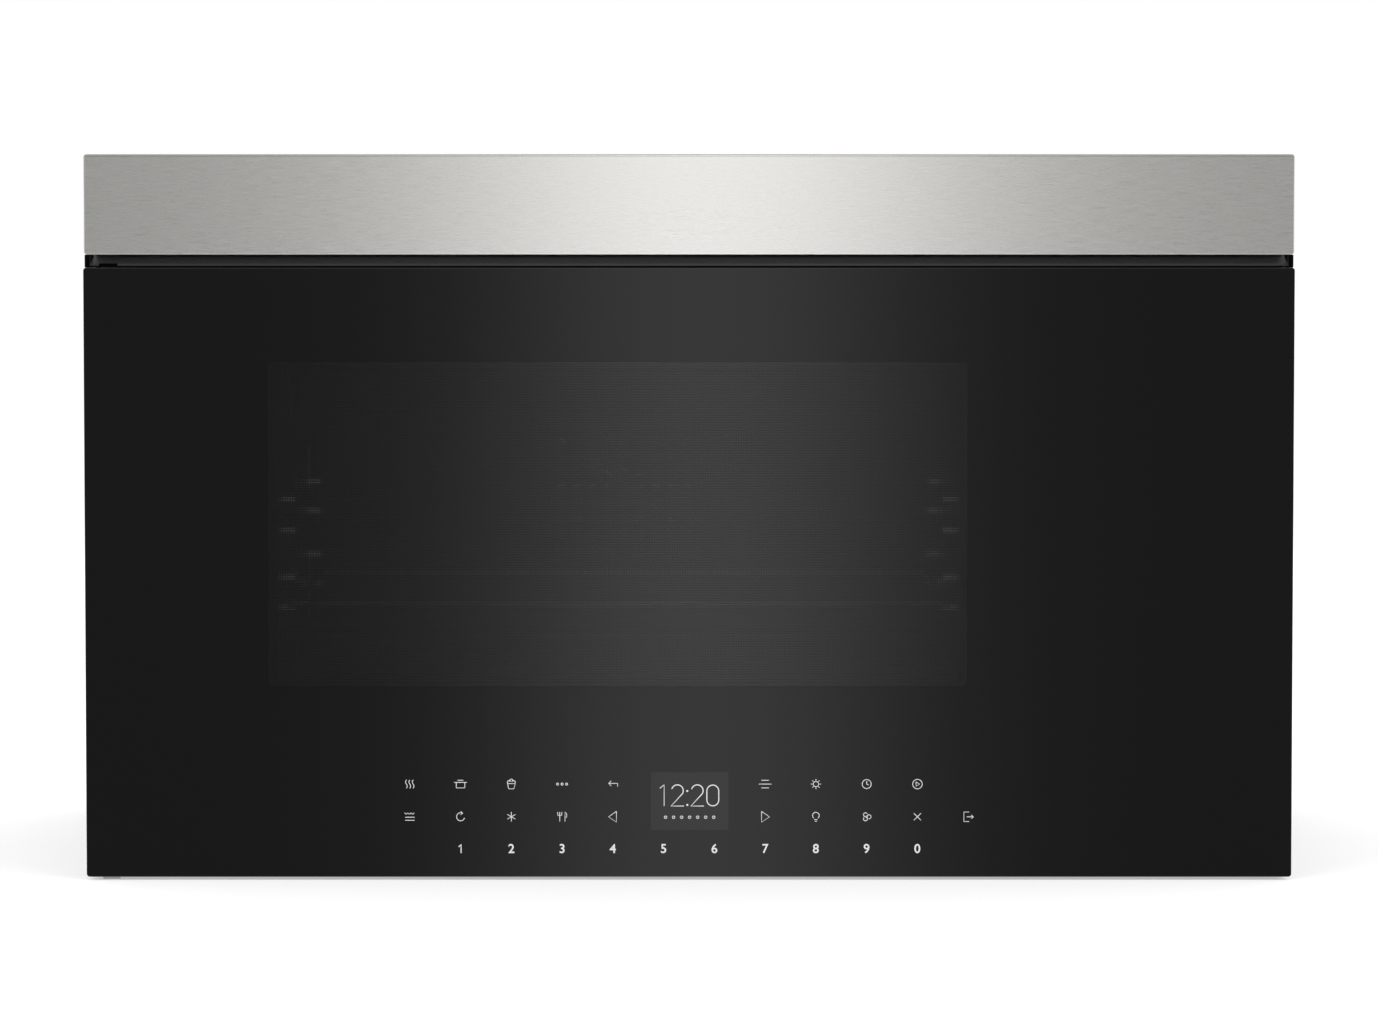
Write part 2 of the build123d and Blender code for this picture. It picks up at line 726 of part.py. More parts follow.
with BuildPart() as magnetron:
    block(around(source_x, magnetron_width), guide_y, (well_bottom, magnetron_z))
    for side in (-1, 1):
        wall = source_x + side * (magnetron_width - magnetron_plate) / 2
        block(around(wall, magnetron_plate), around(stirrer_y, magnetron_depth),
              (well_bottom, magnetron_top))
    block(around(source_x, magnetron_width), around(stirrer_y, magnetron_depth),
          (magnetron_top - magnetron_plate, magnetron_top))
    block(around(source_x, magnetron_width), around(stirrer_y, magnetron_depth),
          (magnetron_top, magnetron_top + filter_box_height))
    bar(magnetron_core_radius, (source_x, stirrer_y, magnetron_z), (0, 0, 1), magnetron_height)
    bar(magnet_radius, (source_x, stirrer_y, magnetron_z), (0, 0, 1), magnet_height)
    bar(magnet_radius, (source_x, stirrer_y, magnetron_top), (0, 0, -1), magnet_height)
    for i in range(magnetron_fins):
        fin = (magnetron_z + magnetron_top) / 2 + (i - (magnetron_fins - 1) / 2) * magnetron_fin_pitch
        block(around(source_x, magnetron_width), around(stirrer_y, magnetron_depth),
              around(fin, magnetron_fin))
    bar(antenna_radius, (source_x, stirrer_y, well_bottom), (0, 0, -1), antenna_length)
magnetron.part.label = "magnetron"
export_step(magnetron.part, "parts/magnetron.step")

transformer_base_width = 110.0
transformer_base_depth = 92.0
transformer_core_width = 96.0
transformer_core_depth = 60.0
transformer_core_height = 78.0
transformer_coil_depth = 86.0
transformer_coil_height = 24.0
transformer_coil_radius = 8.0
transformer_side_gap = 14.0
transformer_back_gap = 14.0
lower_coil_lift = 8.0
upper_coil_lift = 44.0
transformer_coil_lifts = (lower_coil_lift, upper_coil_lift)

transformer_x = bay_side - transformer_side_gap - transformer_base_width / 2
transformer_y = panel_front - transformer_back_gap - transformer_base_depth / 2

with BuildPart() as transformer:
    block(around(transformer_x, transformer_base_width), around(transformer_y, transformer_base_depth),
          (base_sheet, base_sheet + bracket_sheet))
    block(around(transformer_x, transformer_core_width), around(transformer_y, transformer_core_depth),
          (base_sheet, base_sheet + transformer_core_height))
    for lift in transformer_coil_lifts:
        with BuildSketch(level(base_sheet + lift)):
            with Locations((transformer_x, transformer_y)):
                RectangleRounded(transformer_core_width - transformer_coil_height, transformer_coil_depth,
                                 transformer_coil_radius)
        extrude(amount=transformer_coil_height)
transformer.part.label = "transformer"
export_step(transformer.part, "parts/transformer.step")

capacitor_width = 50.0
capacitor_depth = 32.0
capacitor_height = 74.0
capacitor_gap = 14.0
capacitor_radius = 15.0
capacitor_terminal_radius = 3.0
capacitor_terminal_height = 9.0
capacitor_terminal_spread = 24.0
capacitor_x = bay_side - transformer_side_gap - transformer_base_width + capacitor_width / 2
capacitor_y = transformer_y - transformer_base_depth / 2 - capacitor_gap - capacitor_depth / 2

with BuildPart() as capacitor:
    with BuildSketch(level(base_sheet)):
        with Locations((capacitor_x, capacitor_y)):
            RectangleRounded(capacitor_width, capacitor_depth, capacitor_radius)
    extrude(amount=capacitor_height)
    for x in around(capacitor_x, capacitor_terminal_spread):
        bar(capacitor_terminal_radius, (x, capacitor_y, base_sheet + capacitor_height), (0, 0, 1),
            capacitor_terminal_height)
capacitor.part.label = "capacitor"
export_step(capacitor.part, "parts/capacitor.step")

board_sheet = 1.6
power_board_depth = 170.0
power_board_height = 130.0
power_board_setback = 90.0
power_board_lift = 200.0
standoff_length = 8.0
standoff_radius = 3.0
standoff_inset = 8.0
relay_width = 16.0
relay_depth = 20.0
relay_height = 28.0
relay_pitch = 34.0
relays = 3
board_capacitor_radius = 10.0
board_capacitor_length = 22.0
heat_sink_width = 24.0
heat_sink_length = 60.0
heat_sink_height = 30.0

power_board_x = (bay_side - standoff_length - board_sheet, bay_side - standoff_length)
power_board_y = (plate_back + power_board_setback, plate_back + power_board_setback + power_board_depth)
power_board_z = (power_board_lift, power_board_lift + power_board_height)
power_board_middle = (sum(power_board_y) / 2, sum(power_board_z) / 2)

with BuildPart() as power_board:
    block(power_board_x, power_board_y, power_board_z)
    for y in (power_board_y[0] + standoff_inset, power_board_y[1] - standoff_inset):
        for z in (power_board_z[0] + standoff_inset, power_board_z[1] - standoff_inset):
            bar(standoff_radius, (power_board_x[1], y, z), (1, 0, 0), standoff_length)
    for i in range(relays):
        block((power_board_x[0] - relay_width, power_board_x[0]),
              around(power_board_middle[0] + (i - (relays - 1) / 2) * relay_pitch, relay_depth),
              (power_board_z[0] + standoff_inset, power_board_z[0] + standoff_inset + relay_height))
    for i in (-1, 1):
        bar(board_capacitor_radius,
            (power_board_x[0], power_board_middle[0] + i * relay_pitch, power_board_middle[1]),
            (-1, 0, 0), board_capacitor_length)
    block((power_board_x[0] - heat_sink_width, power_board_x[0]),
          around(power_board_middle[0], heat_sink_length),
          (power_board_z[1] - standoff_inset - heat_sink_height, power_board_z[1] - standoff_inset))
power_board.part.label = "power_board"
export_step(power_board.part, "parts/power_board.step")

# ---------------------------------------------------------------------------------------
# Cooling fan on the rear panel, which blows over the magnetron
# ---------------------------------------------------------------------------------------

fan_frame = 120.0
fan_frame_depth = 25.0
fan_bore_radius = 56.0
fan_from_side = 86.0
fan_lift = 250.0
fan_hub_radius = 18.0
fan_strut = 6.0
fan_ring_wall = 3.0
fan_motor_radius = 20.0
fan_motor_length = 13.0
fan_blade_radius = 52.0
fan_blade_depth = 8.0
fan_blade_thickness = 2.0
fan_blade_lean = 35.0
fan_blades = 7
fan_shaft_radius = 2.5
fan_rotor_gap = 1.0

fan_x = bay_side - fan_from_side
fan_motor_y = panel_front - fan_motor_length
fan_rotor_y = fan_motor_y - fan_rotor_gap

with BuildPart() as fan_housing:
    with BuildSketch(facing_front(panel_front)):
        with Locations((fan_x, fan_lift)):
            Rectangle(fan_frame, fan_frame)
            Circle(fan_bore_radius, mode=Mode.SUBTRACT)
    extrude(amount=fan_frame_depth)
    with BuildSketch(facing_front(panel_front)):
        with Locations((fan_x, fan_lift)):
            Rectangle(2 * fan_bore_radius + fan_strut, fan_strut)
            Rectangle(fan_strut, 2 * fan_bore_radius + fan_strut)
            Circle(fan_motor_radius + fan_ring_wall)
            Circle(fan_motor_radius, mode=Mode.SUBTRACT)
    extrude(amount=fan_strut)
fan_housing.part.label = "fan_housing"
export_step(fan_housing.part, "parts/fan_housing.step")

with BuildPart() as fan_motor:
    bar(fan_motor_radius, (fan_x, panel_front, fan_lift), (0, -1, 0), fan_motor_length)
    hole(fan_shaft_radius + shaft_clearance, (fan_x, panel_front, fan_lift), (0, -1, 0), fan_motor_length)
fan_motor.part.label = "fan_motor"
export_step(fan_motor.part, "parts/fan_motor.step")

with BuildPart() as fan_wheel:
    bar(fan_hub_radius, (fan_x, fan_rotor_y, fan_lift), (0, -1, 0), fan_blade_depth)
    bar(fan_shaft_radius, (fan_x, fan_rotor_y, fan_lift), (0, 1, 0),
        fan_rotor_gap + fan_motor_length - seat)
    for i in range(fan_blades):
        turn = radians(360.0 * i / fan_blades)
        outwards = (cos(turn), 0, sin(turn))
        with Locations(Plane(origin=(fan_x, fan_rotor_y - fan_blade_depth / 2, fan_lift),
                             x_dir=(0, 1, 0), z_dir=outwards)):
            with Locations(Location((0, 0, fan_hub_radius - fan_blade_thickness), (0, 0, fan_blade_lean))):
                Box(fan_blade_thickness, fan_blade_depth, fan_blade_radius - fan_hub_radius,
                    align=FROM_BASE)
fan_wheel.part.label = "fan_wheel"
export_step(fan_wheel.part, "parts/fan_wheel.step")

# ---------------------------------------------------------------------------------------
# Cavity lamp, outside the right wall behind its holes
# ---------------------------------------------------------------------------------------

lamp_box_depth = 44.0
lamp_box_height = 36.0
lamp_box_width = 22.0
lamp_box_wall = 2.0
lamp_bulb_radius = 6.0
lamp_bulb_length = 12.0

with BuildPart() as cavity_lamp:
    block((liner_right, liner_right + lamp_box_width), around(cavity_lamp_y, lamp_box_depth),
          around(cavity_lamp_z, lamp_box_height))
    cut((liner_right, liner_right + lamp_box_width - lamp_box_wall),
        around(cavity_lamp_y, lamp_box_depth - 2 * lamp_box_wall),
        around(cavity_lamp_z, lamp_box_height - 2 * lamp_box_wall))
    bar(lamp_bulb_radius, (liner_right + lamp_box_width - lamp_box_wall, cavity_lamp_y, cavity_lamp_z),
        (-1, 0, 0), lamp_bulb_length)
cavity_lamp.part.label = "cavity_lamp"
export_step(cavity_lamp.part, "parts/cavity_lamp.step")

# ---------------------------------------------------------------------------------------
# Vent blower over the cavity, with a wheel each side of its motor
# ---------------------------------------------------------------------------------------

blower_motor_radius = 42.0
blower_motor_length = 88.0
scroll_width = 94.0
scroll_mouth_lift = 12.0
scroll_inlet_radius = 36.0
blower_foot_depth = 24.0
blower_foot_reach = 60.0
blower_foot_sheet = 3.0
blower_shaft_radius = 4.0
blower_wheel_radius = 46.0
blower_wheel_gap = 6.0
blower_wheel_ring = 2.0
blower_blades = 20
blower_blade_thickness = 1.2
blower_blade_reach = 7.0
blower_hub_radius = 9.0

scroll_start = blower_motor_length / 2
scroll_end = scroll_start + 2 * scroll_sheet + scroll_width
scroll_spans = ((-scroll_end, -scroll_start), (scroll_start, scroll_end))
wheel_spans = tuple((low + scroll_sheet + blower_wheel_gap, high - scroll_sheet - blower_wheel_gap)
                    for low, high in scroll_spans)


def scroll_outline(inset, reach):
    """A scroll's side view: a drum with a mouth at its top that opens to the front."""
    with Locations((blower_y, blower_z)):
        Circle(scroll_radius - inset)
    mouth = (blower_z + scroll_mouth_lift + inset, blower_z + scroll_radius - inset)
    with Locations(((blower_y * 2 - reach) / 2, (mouth[0] + mouth[1]) / 2)):
        Rectangle(reach, mouth[1] - mouth[0])


with BuildPart() as blower_housing:
    for low, high in scroll_spans:
        with BuildSketch(facing_right(low)) as side_plate:
            scroll_outline(0.0, scroll_reach)
            with Locations((blower_y, blower_z)):
                Circle(scroll_inlet_radius, mode=Mode.SUBTRACT)
        extrude(amount=scroll_sheet)
        extrude(side_plate.sketch.moved(Location((high - low - scroll_sheet, 0, 0))), amount=scroll_sheet)
        with BuildSketch(facing_right(low)) as full_side:
            scroll_outline(0.0, scroll_reach)
        with BuildSketch(facing_right(low), mode=Mode.PRIVATE) as hollow_side:
            scroll_outline(scroll_sheet, scroll_reach)
        extrude(full_side.sketch - hollow_side.sketch, amount=high - low)
        block((low, high), around(blower_y, blower_foot_depth),
              (liner_top, liner_top + blower_foot + scroll_sheet / 2))
    block((-scroll_end, scroll_end), (blower_y - blower_foot_reach, blower_y + blower_foot_depth / 2),
          (liner_top, liner_top + blower_foot_sheet))
blower_housing.part.label = "blower_housing"
export_step(blower_housing.part, "parts/blower_housing.step")

with BuildPart() as blower_motor:
    bar(blower_motor_radius, (-scroll_start, blower_y, blower_z), (1, 0, 0), blower_motor_length)
    hole(blower_shaft_radius + shaft_clearance, (-scroll_start, blower_y, blower_z), (1, 0, 0),
         blower_motor_length)
blower_motor.part.label = "blower_motor"
export_step(blower_motor.part, "parts/blower_motor.step")

with BuildPart() as blower_wheels:
    bar(blower_shaft_radius, (wheel_spans[0][0], blower_y, blower_z), (1, 0, 0),
        wheel_spans[1][1] - wheel_spans[0][0])
    for low, high in wheel_spans:
        middle = (low + high) / 2
        bar(blower_wheel_radius, (middle, blower_y, blower_z), (1, 0, 0), blower_wheel_ring)
        bar(blower_hub_radius, (low, blower_y, blower_z), (1, 0, 0), high - low)
        with BuildSketch(facing_right(low)) as blade_ring:
            with Locations((blower_y, blower_z)):
                with PolarLocations(blower_wheel_radius - blower_blade_reach / 2, blower_blades):
                    Rectangle(blower_blade_reach - blower_blade_thickness, blower_blade_thickness)
        extrude(amount=high - low)
        for end in (low, high - blower_wheel_ring):
            with BuildSketch(facing_right(end)) as end_ring:
                with Locations((blower_y, blower_z)):
                    Circle(blower_wheel_radius)
                    Circle(blower_wheel_radius - blower_blade_reach, mode=Mode.SUBTRACT)
            extrude(amount=blower_wheel_ring)
blower_wheels.part.label = "blower_wheels"
export_step(blower_wheels.part, "parts/blower_wheels.step")

# ---------------------------------------------------------------------------------------
# Exhaust outlet in the top, closed by a damper flap that rests on a ledge
# ---------------------------------------------------------------------------------------

flap_thickness = 1.2
flap_pin_radius = 1.5
flap_pin_setback = 3.0
flap_pin_reach = 2.0
flap_play = 0.7
ledge_reach = 4.0
ledge_sheet = 1.0
ledge_start = 6.0
flap_drop = 5.0

frame_outer_x = (exhaust_x[0] - exhaust_frame_sheet, exhaust_x[1] + exhaust_frame_sheet)
frame_outer_y = (exhaust_y[0] - exhaust_frame_sheet, exhaust_y[1] + exhaust_frame_sheet)
frame_z = (cover_inside - exhaust_frame_height, cover_inside)
flap_pin_y = exhaust_y[0] + flap_pin_setback
flap_pin_z = cover_inside - flap_drop
flap_z = around(flap_pin_z, flap_thickness)
ledge_z = (flap_z[0] - seat - ledge_sheet, flap_z[0] - seat)

with BuildPart() as exhaust_frame:
    block(frame_outer_x, frame_outer_y, frame_z)
    cut(exhaust_x, exhaust_y, frame_z)
    ledge_y = (exhaust_y[0] + ledge_start, exhaust_y[1])
    block((exhaust_x[0], exhaust_x[0] + ledge_reach), ledge_y, ledge_z)
    block((exhaust_x[1] - ledge_reach, exhaust_x[1]), ledge_y, ledge_z)
    block(exhaust_x, (exhaust_y[1] - ledge_reach, exhaust_y[1]), ledge_z)
    hole(flap_pin_radius + shaft_clearance, (frame_outer_x[0], flap_pin_y, flap_pin_z), (1, 0, 0),
         frame_outer_x[1] - frame_outer_x[0])
exhaust_frame.part.label = "exhaust_frame"
export_step(exhaust_frame.part, "parts/exhaust_frame.step")

with BuildPart() as damper_flap:
    block((exhaust_x[0] + flap_play, exhaust_x[1] - flap_play), (flap_pin_y, exhaust_y[1] - flap_play),
          flap_z)
    bar(flap_pin_radius, (exhaust_x[0] - flap_pin_reach, flap_pin_y, flap_pin_z), (1, 0, 0),
        exhaust_width + 2 * flap_pin_reach)
damper_flap.part.label = "damper_flap"
export_step(damper_flap.part, "parts/damper_flap.step")

grommet_bore_radius = 8.0
grommet_flange_radius = 14.0
grommet_lip = 2.0

with BuildPart() as cord_grommet:
    bar(grommet_flange_radius, (grommet_x, grommet_y, cover_inside - grommet_lip), (0, 0, 1), grommet_lip)
    bar(grommet_hole_radius, (grommet_x, grommet_y, cover_inside), (0, 0, 1), cover_sheet)
    bar(grommet_flange_radius, (grommet_x, grommet_y, cover_top), (0, 0, 1), grommet_lip)
    hole(grommet_bore_radius, (grommet_x, grommet_y, cover_inside - grommet_lip), (0, 0, 1),
         2 * grommet_lip + cover_sheet)
cord_grommet.part.label = "cord_grommet"
export_step(cord_grommet.part, "parts/cord_grommet.step")

# ---------------------------------------------------------------------------------------
# Front vent: charcoal filter, curved outlet guide, end caps and stainless fascia
# ---------------------------------------------------------------------------------------

filter_cassette_depth = 20.0
filter_cassette_play = 0.5
cassette_rim = 8.0
cassette_bars = 9
cassette_bar = 3.0
cassette_recess = 1.5
cassette_x = (-filter_window_side + filter_cassette_play, filter_window_side - filter_cassette_play)
cassette_z = (shelf_top, filter_window_top - filter_cassette_play)
cassette_width = cassette_x[1] - cassette_x[0]
cassette_height = cassette_z[1] - cassette_z[0]

with BuildPart() as charcoal_filter:
    block(cassette_x, (plate_back, plate_back + filter_cassette_depth), cassette_z)
    with BuildSketch(facing_front(plate_back + cassette_recess)):
        with Locations((0, sum(cassette_z) / 2)):
            Rectangle(cassette_width - 2 * cassette_rim, cassette_height - 2 * cassette_rim)
        for i in range(cassette_bars):
            x = cassette_x[0] + (i + 1) * cassette_width / (cassette_bars + 1)
            with Locations((x, sum(cassette_z) / 2)):
                Rectangle(cassette_bar, cassette_height, mode=Mode.SUBTRACT)
    extrude(amount=cassette_recess, mode=Mode.SUBTRACT)
charcoal_filter.part.label = "charcoal_filter"
export_step(charcoal_filter.part, "parts/charcoal_filter.step")

cap_thickness = 3.1
cap_setback = 2.0
cap_gap = 0.2
outlet_lip_setback = 4.0
outlet_sheet = 1.5
outlet_rise = 8.2
outlet_bend = 3.0
outlet_gap = 1.0

cap_outer = door_side - fascia_inset - seat
cap_inner = cap_outer - cap_thickness
outlet_z = door_top + outlet_gap + outlet_sheet / 2
outlet_back = plate_front - outlet_sheet / 2
outlet_top = shelf_top - front_sheet

with BuildPart() as vent_outlet:
    with BuildSketch(facing_right(-cap_inner)) as outlet_section:
        with BuildLine():
            FilletPolyline((door_front + outlet_lip_setback, outlet_z),
                           (outlet_back, outlet_z + outlet_rise), (outlet_back, outlet_top),
                           radius=outlet_bend)
        trace(line_width=outlet_sheet)
    extrude(amount=2 * cap_inner)
    cut(arm_slot_x, (door_front, plate_front), (door_top, upper_arm[1] + seat))
vent_outlet.part.label = "vent_outlet"
export_step(vent_outlet.part, "parts/vent_outlet.step")

with BuildPart() as slot_end_caps:
    for x in ((-cap_outer, -cap_inner), (cap_inner, cap_outer)):
        block(x, (door_front + cap_setback, plate_front), (door_top + cap_gap, fascia_bottom))
slot_end_caps.part.label = "slot_end_caps"
export_step(slot_end_caps.part, "parts/slot_end_caps.step")

fascia_lip = 8.0
fascia_fold = 1.0
fascia_side = door_side - fascia_inset
fascia_z = (fascia_bottom, height)
fascia_back = plate_front

with BuildPart() as fascia:
    with BuildSketch(facing_front(fascia_back)):
        with Locations((0, sum(fascia_z) / 2)):
            RectangleRounded(2 * fascia_side, fascia_z[1] - fascia_z[0], fascia_radius)
    extrude(amount=fascia_back - door_front)
    fillet(fascia.faces().sort_by(Axis.Y)[0].edges(), fascia_fold)
    with BuildSketch(facing_front(fascia_back)):
        with Locations((0, sum(fascia_z) / 2)):
            Rectangle(2 * (fascia_side - fascia_sheet), fascia_z[1] - fascia_z[0] - 2 * fascia_sheet)
    extrude(amount=fascia_back - door_front - fascia_sheet, mode=Mode.SUBTRACT)
    cut((-fascia_side + fascia_sheet, fascia_side - fascia_sheet), (door_front + fascia_lip, fascia_back),
        (fascia_z[0], fascia_z[0] + fascia_sheet))
    for x in tab_x:
        block(around(x, tab_width), (plate_front - fascia_sheet, plate_front), (cover_top, height))
        block(around(x, tab_width), (plate_front - fascia_sheet, plate_front + tab_reach),
              (cover_top, cover_top + fascia_sheet))
        hole(screw_hole_radius, (x, tab_screw_y, cover_top), (0, 0, 1), fascia_sheet)
fascia.part.label = "fascia"
export_step(fascia.part, "parts/fascia.step")


def case_screw(base, along):
    """A pan head screw whose head stands on base, with its shank running back into the case."""
    bar(screw_head_radius, base, along, screw_head_height)
    bar(screw_radius, base, tuple(-step for step in along), screw_length)


with BuildPart() as case_screws:
    for x in tab_x:
        case_screw((x, tab_screw_y, cover_top + fascia_sheet), (0, 0, 1))
    for y in side_screw_y:
        case_screw((-body_side, y, side_screw_height), (-1, 0, 0))
        case_screw((body_side, y, side_screw_height), (1, 0, 0))
case_screws.part.label = "case_screws"
export_step(case_screws.part, "parts/case_screws.step")

# ---------------------------------------------------------------------------------------
# Underside: two grease filters that slide back to free their front edge, and two lamps
# ---------------------------------------------------------------------------------------

filter_thickness = 9.0
filter_frame = 10.0
mesh_hole = 8.0
mesh_pitch = 12.0
mesh_columns = 12
mesh_rows = 14
mesh_thickness = 3.0

grease_z = (base_sheet + seat, base_sheet + seat + filter_thickness)


def grease_filter_shape(x):
    """An aluminium frame round a mesh, lying on the ledge of its opening in the base pan."""
    middle = (x, sum(filter_y) / 2)
    with BuildSketch(level(grease_z[0])) as mesh:
        with Locations(middle):
            Rectangle(filter_width, filter_depth)
            with GridLocations(mesh_pitch, mesh_pitch, mesh_columns, mesh_rows):
                Rectangle(mesh_hole, mesh_hole, mode=Mode.SUBTRACT)
    extrude(mesh.sketch, amount=mesh_thickness)
    with BuildSketch(level(grease_z[0] + mesh_thickness)) as rim:
        with Locations(middle):
            Rectangle(filter_width, filter_depth)
            Rectangle(filter_width - 2 * filter_frame, filter_depth - 2 * filter_frame, mode=Mode.SUBTRACT)
    extrude(rim.sketch, amount=filter_thickness - mesh_thickness)


with BuildPart() as grease_filter_left:
    grease_filter_shape(filter_x[0])
grease_filter_left.part.label = "grease_filter_left"
export_step(grease_filter_left.part, "parts/grease_filter_left.step")

with BuildPart() as grease_filter_right:
    grease_filter_shape(filter_x[1])
grease_filter_right.part.label = "grease_filter_right"
export_step(grease_filter_right.part, "parts/grease_filter_right.step")

lens_play = 0.2
lens_lift = 0.3
lens_thickness = 3.0
lamp_housing_width = 64.0
lamp_housing_depth = 30.0
lamp_housing_height = 14.0

with BuildPart() as lamp_lenses:
    for x in lamp_x:
        block(around(x, lamp_window_width - 2 * lens_play),
              around(lamp_y, lamp_window_depth - 2 * lens_play), (lens_lift, lens_lift + lens_thickness))
lamp_lenses.part.label = "lamp_lenses"
export_step(lamp_lenses.part, "parts/lamp_lenses.step")

with BuildPart() as cooktop_lamps:
    for x in lamp_x:
        block(around(x, lamp_housing_width), around(lamp_y, lamp_housing_depth),
              (base_sheet, base_sheet + lamp_housing_height))
        cut(around(x, lamp_window_width), around(lamp_y, lamp_window_depth),
            (base_sheet, lens_lift + lens_thickness))
cooktop_lamps.part.label = "cooktop_lamps"
export_step(cooktop_lamps.part, "parts/cooktop_lamps.step")

# ---------------------------------------------------------------------------------------
# Door
# ---------------------------------------------------------------------------------------

glass_thickness = 4.0
glass_radius = 2.0
glass_edge = 0.5
door_frame_inset = 2.0
door_frame_wall = 2.0
door_corner_radius = 10.0
hinge_block = 12.0
hinge_block_width = 19.0
window_left_inset = 115.0
window_width = 440.0
window_bottom_margin = 120.6
window_height = 204.0
screen_margin = 22.0
screen_sheet = 1.0
screen_setback = 24.0
choke_rim = 1.0
choke_cover_depth = 9.0
inner_glass_margin = 8.0
inner_glass_thickness = 3.0
inner_glass_recess = 3.0
door_rib_height = 84.0
door_rib = 2.0
latch_guide_gap = 0.3
latch_guide_width = 3.0
latch_guide_depth = 8.0
latch_guide_height = 20.0
lower_latch_guide = 130.0
upper_latch_guide = 240.0
latch_guide_lifts = (lower_latch_guide, upper_latch_guide)
latch_bar_width = 12.0
latch_bar_depth = 5.0
latch_bar_gap = 3.0
latch_bar_overrun = 15.0
spring_length = 22.0
spring_radius = 4.0
spring_wire = 0.7
spring_turns = 7
spring_bracket = 4.0

glass_z = (door_lift, door_top)
glass_back = door_front + glass_thickness
frame_x = (-door_side + door_frame_inset, door_side - door_frame_inset)
frame_z_span = (door_lift + door_frame_inset, door_top - door_frame_inset)
frame_inside_back = door_back - door_frame_wall
window_x = (-door_side + window_left_inset, -door_side + window_left_inset + window_width)
window_z = (door_lift + window_bottom_margin, door_lift + window_bottom_margin + window_height)
screen_x = (window_x[0] - screen_margin, window_x[1] + screen_margin)
screen_z = (window_z[0] - screen_margin, window_z[1] + screen_margin)
screen_front = door_front + screen_setback
latch_bar_y = (frame_inside_back - latch_bar_gap - latch_bar_depth, frame_inside_back - latch_bar_gap)
latch_bar_z = (hook_bottom(lower_lip_top) - latch_bar_overrun, hook_top(upper_lip_top) + latch_bar_overrun)
latch_bar_x = around(hook_x, latch_bar_width)
spring_top = latch_bar_z[1] + spring_length
latch_middle_y = sum(latch_bar_y) / 2

with BuildPart() as door_glass:
    with BuildSketch(facing_front(glass_back)):
        with Locations((0, sum(glass_z) / 2)):
            RectangleRounded(door_width, glass_z[1] - glass_z[0], glass_radius)
    extrude(amount=glass_thickness)
    fillet(door_glass.faces().sort_by(Axis.Y)[0].edges(), glass_edge)
door_glass.part.label = "door_glass"
export_step(door_glass.part, "parts/door_glass.step")

with BuildPart() as door_frame:
    with BuildSketch(level(frame_z_span[0])) as frame_outer:
        with BuildLine():
            Polyline((frame_x[0], glass_back), (frame_x[1], glass_back), (frame_x[1], door_back),
                     (frame_x[0], door_back), (frame_x[0], glass_back))
        make_face()
        fillet(frame_outer.vertices().group_by(Axis.Y)[-1].sort_by(Axis.X)[0], door_corner_radius)
    extrude(amount=frame_z_span[1] - frame_z_span[0])
    with BuildSketch(level(frame_z_span[0] + door_frame_wall)) as frame_inner:
        with BuildLine():
            Polyline((frame_x[0] + door_frame_wall, glass_back), (frame_x[1] - door_frame_wall, glass_back),
                     (frame_x[1] - door_frame_wall, frame_inside_back),
                     (frame_x[0] + door_frame_wall, frame_inside_back),
                     (frame_x[0] + door_frame_wall, glass_back))
        make_face()
        fillet(frame_inner.vertices().group_by(Axis.Y)[-1].sort_by(Axis.X)[0],
               door_corner_radius - door_frame_wall)
    extrude(amount=frame_z_span[1] - frame_z_span[0] - 2 * door_frame_wall, mode=Mode.SUBTRACT)
    block((frame_x[0] + door_frame_wall, latch_bar_x[0] - latch_guide_width - latch_guide_gap),
          (glass_back, frame_inside_back), around(door_rib_height, door_rib))
    cut(screen_x, (glass_back, door_back), screen_z)
    for z in ((frame_z_span[0], frame_z_span[0] + hinge_block),
              (frame_z_span[1] - hinge_block, frame_z_span[1])):
        block((frame_x[0] + door_frame_wall, frame_x[0] + hinge_block_width),
              (glass_back, hinge_y + bush_radius + door_frame_wall), z)
        hole(bush_radius, (hinge_x, hinge_y, z[0]), (0, 0, 1), hinge_block)
    for lip_top in lip_tops:
        cut((hook_sides[0] - slide_clearance, hook_sides[1] + slide_clearance),
            (frame_inside_back, door_back),
            (barb_bottom(lip_top) - latch_travel - slide_clearance, hook_top(lip_top) + slide_clearance))
    for lift in latch_guide_lifts:
        for side in (-1, 1):
            guide = hook_x + side * (latch_bar_width / 2 + latch_guide_gap + latch_guide_width / 2)
            block(around(guide, latch_guide_width),
                  (frame_inside_back - latch_guide_depth, frame_inside_back),
                  around(lift, latch_guide_height))
    block(latch_bar_x, (latch_bar_y[0] - spring_radius, frame_inside_back),
          (spring_top, spring_top + spring_bracket))
door_frame.part.label = "door_frame"
export_step(door_frame.part, "parts/door_frame.step")

with BuildPart() as hinge_bushes:
    bush_spans = ((door_lift, door_lift + bush_length), (door_top - bush_length, door_top))
    for low, high in bush_spans:
        bar(bush_radius, (hinge_x, hinge_y, low), (0, 0, 1), high - low)
        hole(pin_radius + shaft_clearance, (hinge_x, hinge_y, low), (0, 0, 1), high - low)
hinge_bushes.part.label = "hinge_bushes"
export_step(hinge_bushes.part, "parts/hinge_bushes.step")

with BuildPart() as door_screen:
    block(screen_x, (screen_front, door_back - choke_cover_depth), screen_z)
    cut((screen_x[0] + choke_rim, screen_x[1] - choke_rim), (screen_front + screen_sheet, door_back),
        (screen_z[0] + choke_rim, screen_z[1] - choke_rim))
door_screen.part.label = "door_screen"
export_step(door_screen.part, "parts/door_screen.step")

